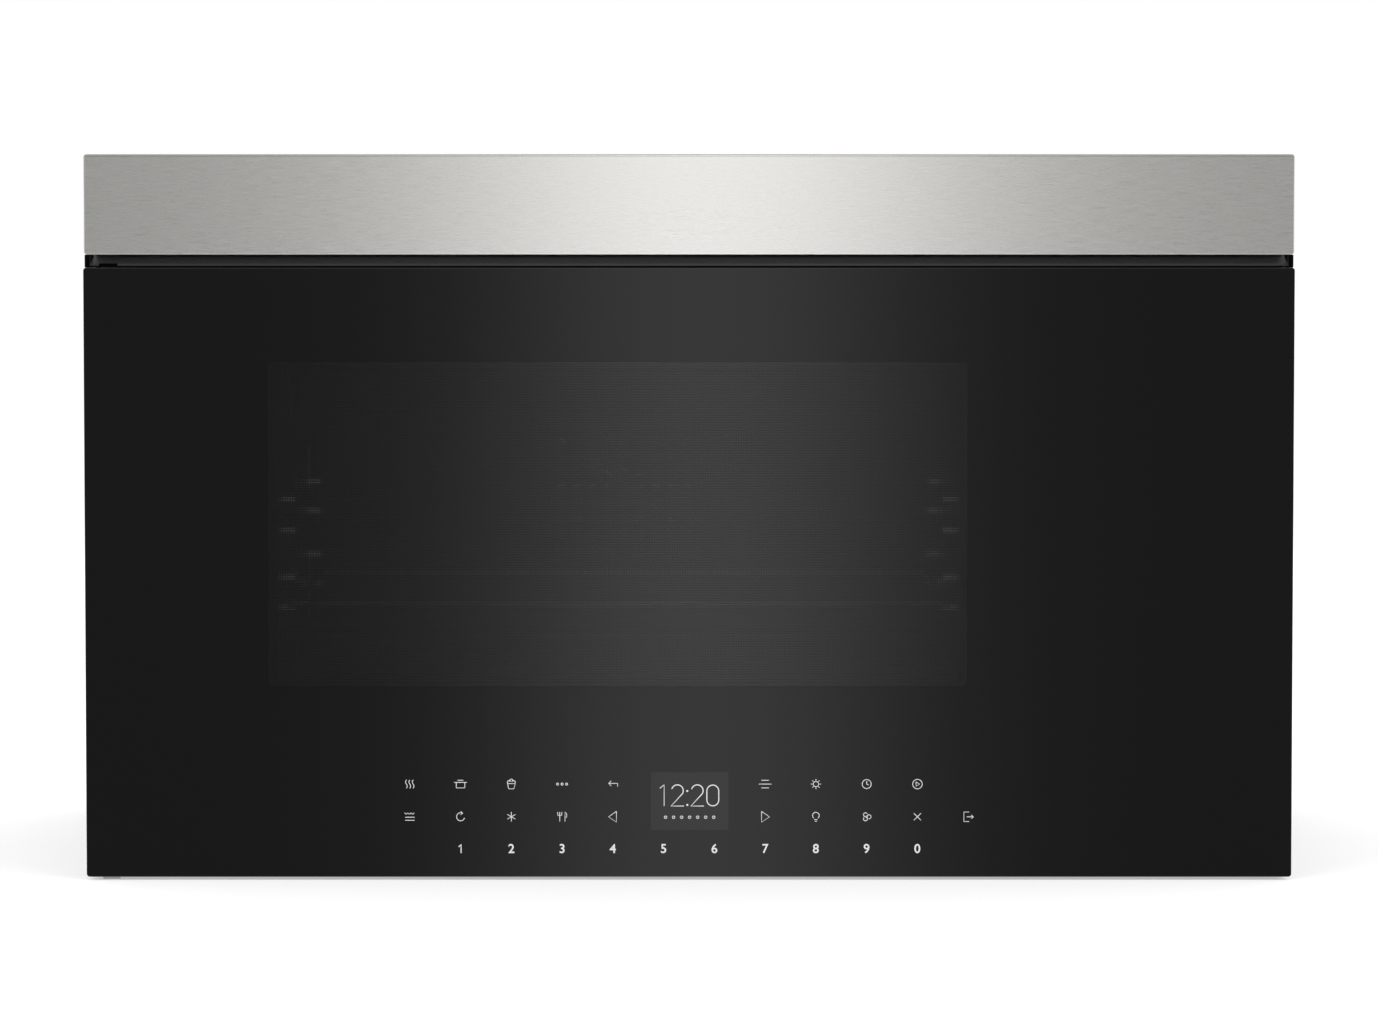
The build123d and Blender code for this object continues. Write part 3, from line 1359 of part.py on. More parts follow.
with BuildPart() as choke_cover:
    block(screen_x, (door_back - choke_cover_depth, door_back), screen_z)
    cut(window_x, (door_back - choke_cover_depth, door_back), window_z)
    cut((window_x[0] - inner_glass_margin, window_x[1] + inner_glass_margin),
        (door_back - choke_cover_depth, door_back - inner_glass_recess),
        (window_z[0] - inner_glass_margin, window_z[1] + inner_glass_margin))
choke_cover.part.label = "choke_cover"
export_step(choke_cover.part, "parts/choke_cover.step")

with BuildPart() as inner_glass:
    block((window_x[0] - inner_glass_margin + seat, window_x[1] + inner_glass_margin - seat),
          (door_back - inner_glass_recess - inner_glass_thickness, door_back - inner_glass_recess),
          (window_z[0] - inner_glass_margin + seat, window_z[1] + inner_glass_margin - seat))
inner_glass.part.label = "inner_glass"
export_step(inner_glass.part, "parts/inner_glass.step")

# touch board and display, bonded to the back of the glass
display_middle = 0.4
display_width = 49.0
display_height = 36.5
display_lift = 31.8
display_depth = 7.0
touch_board_width = 384.0
touch_board_margin = 6.0
touch_board_height = 68.0
touch_chip_width = 14.0
touch_chip_height = 2.0
touch_chip_spread = 240.0

touch_board_z = (door_lift + touch_board_margin, door_lift + touch_board_margin + touch_board_height)
display_z = (display_lift, display_lift + display_height)
display_x = around(display_middle, display_width)

with BuildPart() as touch_board:
    block(around(0.0, touch_board_width), (glass_back, glass_back + board_sheet), touch_board_z)
    cut((display_x[0] - seat, display_x[1] + seat), (glass_back, glass_back + board_sheet),
        (display_z[0] - seat, display_z[1] + seat))
    for x in around(0.0, touch_chip_spread):
        block(around(x, touch_chip_width),
              (glass_back + board_sheet, glass_back + board_sheet + touch_chip_height),
              around(sum(touch_board_z) / 2, touch_chip_width))
touch_board.part.label = "touch_board"
export_step(touch_board.part, "parts/touch_board.step")

with BuildPart() as display_module:
    block(display_x, (glass_back, glass_back + display_depth), display_z)
display_module.part.label = "display_module"
export_step(display_module.part, "parts/display_module.step")

bumper_radius = 5.0
bumper_height = 1.5
bumper_inset = 12.0
bumper_inset_left = 24.0

with BuildPart() as door_bumpers:
    for x in (frame_x[0] + bumper_inset_left, frame_x[1] - bumper_inset):
        for z in (frame_z_span[0] + bumper_inset, frame_z_span[1] - bumper_inset):
            bar(bumper_radius, (x, door_back, z), (0, 1, 0), bumper_height)
door_bumpers.part.label = "door_bumpers"
export_step(door_bumpers.part, "parts/door_bumpers.step")

# ---------------------------------------------------------------------------------------
# Latch: two hooks on one sliding bar in the door, lifted by a slider in the cabinet
# ---------------------------------------------------------------------------------------

with BuildPart() as latch_hooks:
    block(latch_bar_x, latch_bar_y, latch_bar_z)
    for lip_top in lip_tops:
        block(hook_sides, (latch_bar_y[0], barb_back), (hook_bottom(lip_top), hook_top(lip_top)))
        block(hook_sides, (barb_front, barb_back), (barb_bottom(lip_top), hook_top(lip_top)))
latch_hooks.part.label = "latch_hooks"
export_step(latch_hooks.part, "parts/latch_hooks.step")

with BuildPart() as latch_spring:
    spring_rise = spring_length - 2 * spring_wire
    with BuildLine() as spring_line:
        Helix(pitch=spring_rise / spring_turns, height=spring_rise, radius=spring_radius - spring_wire,
              center=(hook_x, latch_middle_y, latch_bar_z[1] + spring_wire))
    with BuildSketch(Plane(origin=spring_line.line @ 0, z_dir=spring_line.line % 0)):
        Circle(spring_wire)
    sweep(is_frenet=True)
latch_spring.part.label = "latch_spring"
export_step(latch_spring.part, "parts/latch_spring.step")

board_gap = 1.0
latch_board_sheet = 3.0
latch_board_bottom = 60.0
latch_board_top = 336.0
latch_board_depth = 65.0
latch_board_flange = 18.0
slider_gap = 4.0
slider_width = 5.0
slider_depth = 6.0
slider_top = 328.0
finger_height = 4.0
finger_play = 0.3
slider_guide_height = 10.0
slider_guide_wall = 2.5
lower_slider_guide = 150.0
upper_slider_guide = 270.0
slider_guide_lifts = (lower_slider_guide, upper_slider_guide)
foot_width = 11.0
foot_depth = 5.0
foot_height = 4.0
plunger_radius = 4.0
plunger_length = 28.0
solenoid_width = 26.0
solenoid_height = 36.0

board_x = (latch_slot_x[1] + board_gap, latch_slot_x[1] + board_gap + latch_board_sheet)
slider_x = around(hook_x, slider_width)
slider_y = (barb_back + slider_gap, barb_back + slider_gap + slider_depth)
slider_middle_y = sum(slider_y) / 2
foot_y = (slider_y[1], slider_y[1] + foot_depth)

lever_reach = 25.0
lever_overrun = 2.0
lever_width = 4.0
lever_thickness = 0.5
lever_tilt = 5.73
lever_pin_radius = 0.8
lever_tube_radius = 1.3
switch_pair_spread = 6.4
switch_ear = 0.8
switch_top_drop = 3.2
switch_height = 10.0
switch_front_reach = 24.0
switch_back_reach = 4.0
upper_switch_height = 232.0
lower_switch_height = 112.0
foot_lift = 3.3

lever_hinge_y = sum(foot_y) / 2 + lever_reach
upper_switch_x = around(hook_x, switch_pair_spread)
switch_places = ((upper_switch_x[0], upper_switch_height), (upper_switch_x[1], upper_switch_height),
                 (hook_x, lower_switch_height))
switch_width = lever_width + 2 * (seat + switch_ear)

with BuildPart() as latch_board:
    block(board_x, (plate_back, plate_back + latch_board_depth), (latch_board_bottom, latch_board_top))
    block((board_x[0], board_x[0] + latch_board_flange), (plate_back, plate_back + latch_board_sheet),
          (latch_board_bottom, latch_board_top))
    for lip_top in lip_tops:
        block((latch_slot_x[0], board_x[0]), (lip_front, lip_back), (lip_top - lip_height, lip_top))
    for lift in slider_guide_lifts:
        block((slider_x[0] - slide_clearance - slider_guide_wall, board_x[0]),
              (slider_y[0] - slide_clearance - slider_guide_wall,
               slider_y[1] + slide_clearance + slider_guide_wall),
              around(lift, slider_guide_height))
        cut((slider_x[0] - slide_clearance, slider_x[1] + slide_clearance),
            (slider_y[0] - slide_clearance, slider_y[1] + slide_clearance),
            around(lift, slider_guide_height))
    for x, z in switch_places[1:]:
        block((x + switch_width / 2, board_x[0]), (lever_hinge_y - switch_front_reach, lever_hinge_y),
              (z - switch_top_drop - switch_height, z - switch_top_drop))
latch_board.part.label = "latch_board"
export_step(latch_board.part, "parts/latch_board.step")

with BuildPart() as release_slider:
    block(slider_x, slider_y, (barb_bottom(lower_lip_top) - finger_play - finger_height, slider_top))
    for lip_top in lip_tops:
        block(slider_x, (barb_front + seat, slider_y[1]),
              (barb_bottom(lip_top) - finger_play - finger_height, barb_bottom(lip_top) - finger_play))
    for switch_height_z in (upper_switch_height, lower_switch_height):
        block(around(hook_x, foot_width), foot_y,
              (switch_height_z + foot_lift, switch_height_z + foot_lift + foot_height))
    bar(plunger_radius, (hook_x, slider_middle_y, slider_top), (0, 0, 1), plunger_length)
release_slider.part.label = "release_slider"
export_step(release_slider.part, "parts/release_slider.step")

with BuildPart() as release_solenoid:
    block(around(hook_x, solenoid_width), around(slider_middle_y, solenoid_width),
          (latch_board_top, latch_board_top + solenoid_height))
    hole(plunger_radius + slide_clearance, (hook_x, slider_middle_y, latch_board_top), (0, 0, 1),
         slider_top + plunger_length - latch_board_top + latch_travel)
release_solenoid.part.label = "release_solenoid"
export_step(release_solenoid.part, "parts/release_solenoid.step")

with BuildPart() as interlock_switches:
    for x, z in switch_places:
        block(around(x, switch_width),
              (lever_hinge_y - switch_front_reach, lever_hinge_y + switch_back_reach),
              (z - switch_top_drop - switch_height, z - switch_top_drop))
        for side in (-1, 1):
            ear = x + side * (switch_width - switch_ear) / 2
            block(around(ear, switch_ear), around(lever_hinge_y, 2 * lever_tube_radius),
                  (z - switch_top_drop, z + lever_tube_radius))
            hole(lever_pin_radius + shaft_clearance, (ear - switch_ear / 2, lever_hinge_y, z), (1, 0, 0),
                 switch_ear)
interlock_switches.part.label = "interlock_switches"
export_step(interlock_switches.part, "parts/interlock_switches.step")


def switch_lever(x, z):
    """A thin lever on a hinge pin, tilted up to meet the foot of the slider."""
    bar(lever_tube_radius, (x - lever_width / 2, lever_hinge_y, z), (1, 0, 0), lever_width)
    bar(lever_pin_radius, (x - switch_width / 2, lever_hinge_y, z), (1, 0, 0), switch_width)
    with Locations(Location((x, lever_hinge_y, z), (-lever_tilt, 0, 0))):
        Box(lever_width, lever_reach + lever_overrun, lever_thickness,
            align=(Align.CENTER, Align.MAX, Align.CENTER))


with BuildPart() as upper_switch_levers:
    for x, z in switch_places[:2]:
        switch_lever(x, z)
upper_switch_levers.part.label = "upper_switch_levers"
export_step(upper_switch_levers.part, "parts/upper_switch_levers.step")

with BuildPart() as lower_switch_lever:
    switch_lever(*switch_places[2])
lower_switch_lever.part.label = "lower_switch_lever"
export_step(lower_switch_lever.part, "parts/lower_switch_lever.step")
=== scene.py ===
"""Over the range microwave oven: finishes, fine pieces, printed marks and a stage.

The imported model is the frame. Each operator dresses one group of its nodes or adds one group of
pieces, and main() calls them in order.
"""

import math

import bmesh
import bpy
from mathutils import Matrix, Vector


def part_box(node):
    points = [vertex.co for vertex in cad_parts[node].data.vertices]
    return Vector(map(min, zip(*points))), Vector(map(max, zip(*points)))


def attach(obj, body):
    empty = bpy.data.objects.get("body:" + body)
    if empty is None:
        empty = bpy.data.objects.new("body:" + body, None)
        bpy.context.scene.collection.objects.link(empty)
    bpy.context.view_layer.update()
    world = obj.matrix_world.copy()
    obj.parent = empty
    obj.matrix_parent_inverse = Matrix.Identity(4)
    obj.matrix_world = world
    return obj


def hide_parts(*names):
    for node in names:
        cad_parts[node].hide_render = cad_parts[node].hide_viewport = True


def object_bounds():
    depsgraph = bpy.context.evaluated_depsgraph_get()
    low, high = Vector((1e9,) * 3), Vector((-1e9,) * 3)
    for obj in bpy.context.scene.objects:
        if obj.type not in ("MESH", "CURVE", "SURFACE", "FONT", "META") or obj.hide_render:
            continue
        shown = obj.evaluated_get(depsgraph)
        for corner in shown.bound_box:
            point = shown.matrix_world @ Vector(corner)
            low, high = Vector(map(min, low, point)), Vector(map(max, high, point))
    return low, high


bl_info = {
    "name": "Over the range microwave",
    "version": (1, 0, 0),
    "blender": (4, 5, 0),
    "location": "View3D > Sidebar > Microwave",
    "description": "Finishes, printed marks and stage for an over the range microwave oven",
    "category": "Object",
}

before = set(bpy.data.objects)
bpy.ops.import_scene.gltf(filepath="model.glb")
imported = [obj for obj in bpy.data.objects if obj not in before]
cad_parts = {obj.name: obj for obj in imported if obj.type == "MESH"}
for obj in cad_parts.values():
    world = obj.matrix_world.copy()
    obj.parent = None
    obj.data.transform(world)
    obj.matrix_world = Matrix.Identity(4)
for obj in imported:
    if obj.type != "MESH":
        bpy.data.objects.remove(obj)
cad_low, cad_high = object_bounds()

NODES_BY_SLOT = {}
for cad_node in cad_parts.values():
    NODES_BY_SLOT.setdefault(cad_node.material_slots[0].name, []).append(cad_node)

GLASS_LOW, GLASS_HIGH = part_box("door_glass")
INNER_LOW, INNER_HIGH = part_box("inner_glass")
DISPLAY_LOW, DISPLAY_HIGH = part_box("display_module")
OBJECT_MIDDLE = (GLASS_LOW.x + GLASS_HIGH.x) / 2
MM = 0.001
SAME_PLACE = 1e-7
WHITE = (1.0, 1.0, 1.0)


# ---- Properties ----


def colour(label, told, default):
    """A colour a user may change."""
    return bpy.props.FloatVectorProperty(
        name=label, description=told, subtype="COLOR", size=3, min=0.0, max=1.0, default=default)


def length(label, told, default):
    """A length in metres a user may change."""
    return bpy.props.FloatProperty(
        name=label, description=told, unit="LENGTH", precision=5, default=default)


def share(label, told, default, highest=1.0):
    """A plain share or strength a user may change."""
    return bpy.props.FloatProperty(
        name=label, description=told, subtype="FACTOR", min=0.0, max=highest, default=default)


class FinishSettings(bpy.types.PropertyGroup):
    """Colours and glosses of the oven's finishes."""

    steel: colour("Fascia steel", "Brushed stainless steel of the top band", (0.584, 0.577, 0.557))
    steel_roughness: share("Steel roughness", "Roughness of the brushed steel", 0.28)
    glass_print: colour("Glass print", "Black print on the back of the door glass",
                        (0.0016, 0.0016, 0.0017))
    display_print: colour("Display print", "Dark grey film over the display",
                          (0.0155, 0.0155, 0.016))
    glass_tint: colour("Window tint", "What the tinted window lets through", (0.30, 0.30, 0.31))
    case: colour("Case paint", "Powder paint of the cover", (0.018, 0.018, 0.019))
    zinc: colour("Zinc sheet", "Zinc coated sheet steel", (0.47, 0.48, 0.495))
    outlet: colour("Vent outlet", "Curved guide in the air slot", (0.025, 0.0254, 0.0258))
    cavity: colour("Cavity enamel", "Enamel inside the oven", (0.10, 0.10, 0.103))
    ceramic: colour("Ceramic floor", "Glass ceramic floor plate", (0.62, 0.60, 0.55))
    plastic: colour("Black plastic", "Moulded black plastic", (0.012, 0.012, 0.013))


class MarkSettings(bpy.types.PropertyGroup):
    """Sizes of the printed marks on the door glass."""

    ink: colour("Mark ink", "White print of the keys and the clock", (0.86, 0.87, 0.88))
    key_pitch: length("Key pitch", "Distance from one key to the next", 0.032)
    top_row: length("Top row", "Height of the top row of keys", 0.0608)
    middle_row: length("Middle row", "Height of the middle row of keys", 0.0401)
    number_row: length("Number row", "Height of the row of numbers", 0.0200)
    number_height: length("Number height", "Height of a key's number", 0.0058)
    sign_reach: length("Sign reach", "Half the height of a key's sign", 0.0030)
    line: length("Line width", "Width of a printed line", 0.00052)
    clock_height: length("Clock height", "Height of the clock's numbers", 0.0134)
    clock_middle: length("Clock middle", "Height of the middle of the clock", 0.0536)
    clock_line: length("Clock line", "Width of the clock's lines", 0.00078)
    thickness: length("Ink thickness", "Thickness of a printed mark", 0.00008)


class StageSettings(bpy.types.PropertyGroup):
    """Camera and light of the studio."""

    camera_distance: length("Camera distance", "From the door glass to the camera", 3.4)
    camera_pitch: bpy.props.FloatProperty(
        name="Camera pitch", description="How far the camera looks down", subtype="ANGLE",
        default=math.radians(3.1))
    camera_height: length("Aim height", "Height of the point the camera looks at", 0.2294)
    lens: bpy.props.FloatProperty(
        name="Lens", description="Focal length on a 36 mm sensor", unit="CAMERA", default=141.3)
    fill: share("Fill light", "Light that comes from all round", 0.72, 4.0)
    card_edge: share("Card edge", "Brightness of the light card at its sides", 0.22, 4.0)
    card_middle: share("Card middle", "What the card's middle adds to its sides", 0.74, 4.0)
    card_top: share("Card top", "How much brighter the card is above and below the door", 3.3, 9.0)
    card_spread: length("Card spread", "How far the card's bright middle spreads", 0.208)


# ---- Finishes ----


# The Mix node's colour sockets have the same names as its sockets for plain values.
MIX_COLOURS = slice(6, 8)
MIX_RESULT = 2


def scaled(tone, by):
    """A colour made darker or lighter."""
    return tuple(part * by for part in tone)


class Finish:
    """A material on the piece's own coordinates, with short ways to add its nodes."""

    def __init__(self, name, base, roughness, metallic=0.0):
        self.material = bpy.data.materials.new(name)
        self.material.use_nodes = True
        self.tree = self.material.node_tree
        self.shader = self.tree.nodes["Principled BSDF"]
        self.base = tuple(base)
        self.roughness = roughness
        self.relief = None
        self.fixed("Base Color", (*self.base, 1.0))
        self.fixed("Roughness", roughness)
        self.fixed("Metallic", metallic)
        self.place = self.tree.nodes.new("ShaderNodeTexCoord").outputs["Object"]

    def fixed(self, socket, value):
        """Set a value that is the same all over the surface."""
        self.shader.inputs[socket].default_value = value

    def vary(self, socket, value):
        """Link a value that differs over the surface."""
        self.tree.links.new(value, self.shader.inputs[socket])
        return self

    def glow(self, light, strength):
        """Let the surface shine slightly of itself."""
        self.fixed("Emission Color", (*light, 1.0))
        self.join(strength, self.shader.inputs["Emission Strength"])
        return self

    def join(self, value, socket):
        """Link a socket, or set it where the value is a plain one."""
        if isinstance(value, bpy.types.NodeSocket):
            self.tree.links.new(value, socket)
        else:
            socket.default_value = value

    def node(self, kind, settings=(), **sockets):
        """Add a node, with its own settings and what goes into its sockets."""
        made = self.tree.nodes.new("ShaderNode" + kind)
        for name, value in dict(settings).items():
            setattr(made, name, value)
        for name, value in sockets.items():
            self.join(value, made.inputs[name])
        return made

    def result(self, kind, settings, *values):
        """What a node makes of the values that go into its sockets in turn."""
        made = self.node(kind, settings)
        for value, socket in zip(values, made.inputs):
            self.join(value, socket)
        return made.outputs[0]

    def sum(self, operation, *values):
        """A math operation on its values."""
        return self.result("Math", {"operation": operation}, *values)

    def axis(self, name):
        """The piece's own coordinate along X, Y or Z."""
        return self.node("SeparateXYZ", Vector=self.place).outputs[name]

    def facing(self, name):
        """How far the surface faces along X, Y or Z."""
        normal = self.node("NewGeometry").outputs["Normal"]
        return self.node("SeparateXYZ", Vector=normal).outputs[name]

    def stretched(self, stretch):
        """The piece's own coordinates, scaled along each axis."""
        return self.node("Mapping", Vector=self.place, Scale=stretch).outputs[0]

    def cloud(self, scale, detail=2.0, stretch=(1.0, 1.0, 1.0)):
        """A soft noise. Its scale is in patches a metre."""
        return self.node("TexNoise", Vector=self.stretched(stretch), Scale=scale,
                         Detail=detail).outputs[0]

    def cells(self, scale, feature="F1", stretch=(1.0, 1.0, 1.0)):
        """A cell pattern. Its scale is in cells a metre."""
        return self.node("TexVoronoi", {"feature": feature}, Vector=self.stretched(stretch),
                         Scale=scale).outputs["Distance"]

    def ribs(self, scale):
        """Even ribs from left to right."""
        return self.node("TexWave", {"bands_direction": "X"}, Vector=self.place,
                         Scale=scale).outputs[0]

    def between(self, value, low, high, value_low=0.3, value_high=0.7):
        """Spread a value from one range over another."""
        return self.result("MapRange", {}, value, value_low, value_high, low, high)

    def blend(self, factor, low, high, way="MIX"):
        """Mix two colours, each a plain one or a socket."""
        made = self.node("Mix", {"data_type": "RGBA", "blend_type": way}, Factor=factor)
        for value, socket in zip((low, high), made.inputs[MIX_COLOURS]):
            linked = isinstance(value, bpy.types.NodeSocket)
            self.join(value if linked else (*value, 1.0), socket)
        return made.outputs[MIX_RESULT]

    def shade(self, factor, amount, other=None):
        """Let the colour vary by an amount of itself, or towards another colour."""
        high = other or tuple(min(part, 1.0) for part in scaled(self.base, 1.0 + amount))
        return self.vary("Base Color", self.blend(factor, scaled(self.base, 1.0 - amount), high))

    def gloss(self, factor, amount):
        """Let the roughness vary by an amount each way."""
        low = max(self.roughness - amount, 0.0)
        return self.vary("Roughness", self.between(factor, low, self.roughness + amount))

    def patchy(self, scale, shade, gloss, detail=2.0):
        """Soft patches of slightly different colour and roughness."""
        soft = self.cloud(scale, detail)
        return self.shade(soft, shade).gloss(soft, gloss)

    def raised(self, height, depth):
        """Add relief of a depth in metres on top of what is there."""
        bump = self.node("Bump", Height=height, Distance=depth)
        if self.relief is not None:
            self.tree.links.new(self.relief, bump.inputs["Normal"])
        self.relief = bump.outputs[0]
        return self.vary("Normal", self.relief)


def dress(slot, finish):
    """Give every CAD node of a material slot its finish."""
    for node in NODES_BY_SLOT[slot]:
        node.material_slots[0].material = finish.material


def dress_node(node, finish):
    """Give one CAD node a finish of its own."""
    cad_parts[node].material_slots[0].material = finish.material


def dull_black(name, level):
    """Matt black that hardly shines, with slightly uneven patches."""
    finish = Finish(name, (level, level, level), 0.6)
    finish.fixed("Specular IOR Level", 0.02)
    return finish.patchy(60.0, 0.1, 0.05)


def moulded(name, base, roughness, grain=0.00003, patches=1400.0):
    """Moulded plastic with a fine spark grain."""
    finish = Finish(name, base, roughness).patchy(9.0, 0.10, 0.05)
    return finish.raised(finish.cloud(patches, 3.0), grain)


def painted(name, base, roughness, peel=0.00003):
    """Paint with a faint orange peel."""
    finish = Finish(name, base, roughness).patchy(6.0, 0.05, 0.015, 3.0)
    return finish.raised(finish.cloud(480.0, 2.0), peel)


def zinc_sheet(base):
    """Zinc coated steel: grey crystals of slightly different brightness, and rolling lines."""
    finish = Finish("zinc_coating", base, 0.42, 0.85)
    crystal = finish.node("TexVoronoi", {"feature": "F1"}, Vector=finish.place,
                          Scale=190.0).outputs["Color"]
    shine = finish.node("SeparateColor", Color=crystal).outputs[0]
    finish.shade(shine, 0.08).gloss(shine, 0.03)
    return finish.raised(finish.cloud(35.0, 4.0, (1.0, 1.0, 14.0)), 0.00002)


def bare_metal(name, base, roughness, stretch, metallic=1.0, lines=900.0):
    """Metal with machining or drawing lines across one axis."""
    finish = Finish(name, base, roughness, metallic)
    streaks = finish.cloud(lines, 3.0, stretch)
    finish.shade(streaks, 0.08).gloss(streaks, 0.07)
    return finish.raised(streaks, 0.00001)


def brushed_stainless(settings):
    """Fascia steel with fine brush lines from left to right, and a painted shade that darkens it
    along its top fold.
    """
    finish = Finish("brushed_stainless", settings.steel, settings.steel_roughness, 1.0)
    finish.fixed("Anisotropic", 0.9)
    finish.vary("Tangent", finish.node("Tangent", {"direction_type": "RADIAL", "axis": "X"})
                .outputs[0])
    lines = finish.cloud(1.0, 3.0, (60.0, 1900.0, 3200.0))
    strokes = finish.cloud(1.0, 2.0, (160.0, 700.0, 1100.0))
    both = finish.sum("MULTIPLY_ADD", lines, 0.5, finish.sum("MULTIPLY", strokes, 0.5))
    # Painted shade: the steel is darkened along its top fold, down to about three quarters of its
    # colour.
    below_top = finish.sum("SUBTRACT", cad_high.z, finish.axis("Z"))
    full_shade_to, no_shade_from = 1.2 * MM, 2.0 * MM
    painted_top_shade = finish.between(below_top, 0.74, 1.0, full_shade_to, no_shade_from)
    level = finish.sum("MULTIPLY", painted_top_shade, finish.between(both, 0.975, 1.025))
    finish.vary("Base Color", finish.blend(1.0, finish.base, level, "MULTIPLY"))
    return finish.gloss(lines, 0.03).raised(both, 0.0000015)


def vent_guide(settings):
    """Satin plastic of the guide in the air slot, with painted light and shade.

    It is dark at its lip and painted paler up its ramp, where the slot keeps light out, and painted
    black again under the fascia as a shadow. Painted shade darkens it towards its ends, and the
    ramp glows slightly of itself, a painted light, as it is no lamp.
    """
    finish = moulded("outlet_satin_plastic", settings.outlet, 0.4, 0.00001)
    finish.fixed("Specular IOR Level", 0.35)
    above_lip = finish.sum("SUBTRACT", finish.axis("Z"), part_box("vent_outlet")[0].z)
    off_middle = finish.sum("ABSOLUTE", finish.sum("SUBTRACT", finish.axis("X"), OBJECT_MIDDLE))
    lip_top, ramp_top, fascia_edge = 1.6 * MM, 6.0 * MM, 6.5 * MM
    painted_end_shade, painted_end_shade_edge = (0.335, 0.370), (0.368, 0.376)
    # Painted light: the ramp is painted up to fifteen times paler, and painted shade darkens it
    # towards its ends and under the fascia.
    pale = finish.between(above_lip, 0.0, 1.0, lip_top, ramp_top)
    for painted_shade in (finish.between(off_middle, 1.0, 0.6, *painted_end_shade),
                 finish.between(off_middle, 1.0, 0.3, *painted_end_shade_edge),
                 finish.between(above_lip, 1.0, 0.0, ramp_top, fascia_edge)):
        pale = finish.sum("MULTIPLY", pale, painted_shade)
    finish.shade(pale, 0.0, scaled(settings.outlet, 15.0))
    # Painted light: the ramp glows a little, most near the middle.
    glow_height, glow_width = (4.9 * MM, 5.7 * MM), (0.05, 0.30)
    level = finish.between(above_lip, 0.014, 0.0, *glow_height)
    painted_glow_dimming = finish.between(off_middle, 1.15, 0.6, *glow_width)
    return finish.glow(WHITE, finish.sum("MULTIPLY", level, painted_glow_dimming))


def slot_end_black():
    """Black slot ends whose inner faces are painted grey, a painted light as on the guide that runs
    into them.
    """
    finish = dull_black("end_cap_black", 0.0015)
    across = finish.sum("SUBTRACT", finish.axis("X"), OBJECT_MIDDLE)
    towards_middle = finish.sum("MULTIPLY", finish.facing("X"), across)
    # Painted light: faces that look in towards the middle are lighter grey.
    return finish.shade(finish.sum("LESS_THAN", towards_middle, -0.1), 0.0, (0.05, 0.05, 0.05))


def inside_box(finish, low, high):
    """How far a point of the door glass is inside a box in X and Z, in metres."""
    near = [finish.sum("MINIMUM", finish.sum("SUBTRACT", spot, lowest),
                       finish.sum("SUBTRACT", highest, spot))
            for spot, lowest, highest in ((finish.axis("X"), low.x, high.x),
                                          (finish.axis("Z"), low.z, high.z))]
    return finish.sum("MINIMUM", *near)


def door_glass(settings, window_low, window_high):
    """Polished glass, printed black on its back but for the tinted window and display."""
    finish = Finish("printed_door_glass", settings.glass_print, 0.035)
    finish.fixed("IOR", 1.5)
    window = inside_box(finish, window_low, window_high)
    display = inside_box(finish, DISPLAY_LOW, DISPLAY_HIGH)
    clear = finish.sum("GREATER_THAN", window, 0.0)
    lighter_edge = 1.4 * MM
    edge = finish.sum("MULTIPLY", clear, finish.sum("LESS_THAN", window, lighter_edge))
    soft = finish.cloud(3.0)
    black = finish.blend(soft, scaled(settings.glass_print, 0.9), scaled(settings.glass_print, 1.1))
    black = finish.blend(finish.sum("GREATER_THAN", display, 0.0), black, settings.display_print)
    tint = finish.blend(edge, settings.glass_tint, scaled(settings.glass_tint, 1.25))
    finish.vary("Base Color", finish.blend(clear, black, tint))
    finish.vary("Transmission Weight", clear)
    ground_edge = finish.between(finish.facing("Z"), 0.0, 0.5, 0.05, 0.35)
    polish = finish.between(soft, finish.roughness - 0.01, finish.roughness + 0.01)
    return finish.vary("Roughness", finish.sum("ADD", polish, ground_edge))


def clear_glass(name, base, roughness):
    """Plain float glass with a faint waviness."""
    finish = Finish(name, base, roughness)
    finish.fixed("IOR", 1.5)
    finish.fixed("Transmission Weight", 1.0)
    soft = finish.cloud(5.0)
    finish.shade(soft, 0.03).gloss(soft, 0.01)
    return finish.raised(soft, 0.00001)


def perforated_screen(low, high):
    """Black steel with round holes over the window."""
    finish = Finish("perforated_screen", (0.008, 0.008, 0.008), 0.6)
    holes_a_metre, hole_radius = 620.0, 0.36
    flat = finish.node("CombineXYZ", X=finish.axis("X"), Y=finish.axis("Z")).outputs[0]
    dots = finish.node("TexVoronoi", {"voronoi_dimensions": "2D"}, Vector=flat,
                       Scale=holes_a_metre, Randomness=0.0).outputs["Distance"]
    hole = finish.sum("LESS_THAN", dots, hole_radius)
    area = finish.sum("GREATER_THAN", inside_box(finish, low, high), 0.0)
    finish.vary("Alpha", finish.sum("SUBTRACT", 1.0, finish.sum("MULTIPLY", hole, area)))
    return finish.patchy(12.0, 0.12, 0.05).raised(finish.cloud(700.0, 2.0), 0.00002)


# ---- Shapes ----


def in_scene(name, data):
    """An object of a mesh, curve, lamp or camera, linked to the scene."""
    made = bpy.data.objects.new(name, data)
    bpy.context.scene.collection.objects.link(made)
    return made


def as_mesh(name, bm):
    """A mesh of a bmesh, which is then freed."""
    mesh = bpy.data.meshes.new(name)
    bm.to_mesh(mesh)
    bm.free()
    return mesh


def placed(name, bm, finish):
    """Put a bmesh in the scene as an object with a finish."""
    made = in_scene(name, as_mesh(name, bm))
    made.data.materials.append(finish.material)
    return made


def new_piece(name, bm, finish, body):
    """Put a bmesh in the scene as a piece that rides on a body and has a slot's finish."""
    bmesh.ops.recalc_face_normals(bm, faces=bm.faces)
    piece = placed(name, bm, finish)
    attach(piece, body)
    return piece


def footprint(low, high, inset):
    """The four corners of a box as seen from above, drawn in a little."""
    left, right, front, back = low.x + inset, high.x - inset, low.y + inset, high.y - inset
    return [(left, front), (right, front), (right, back), (left, back)]


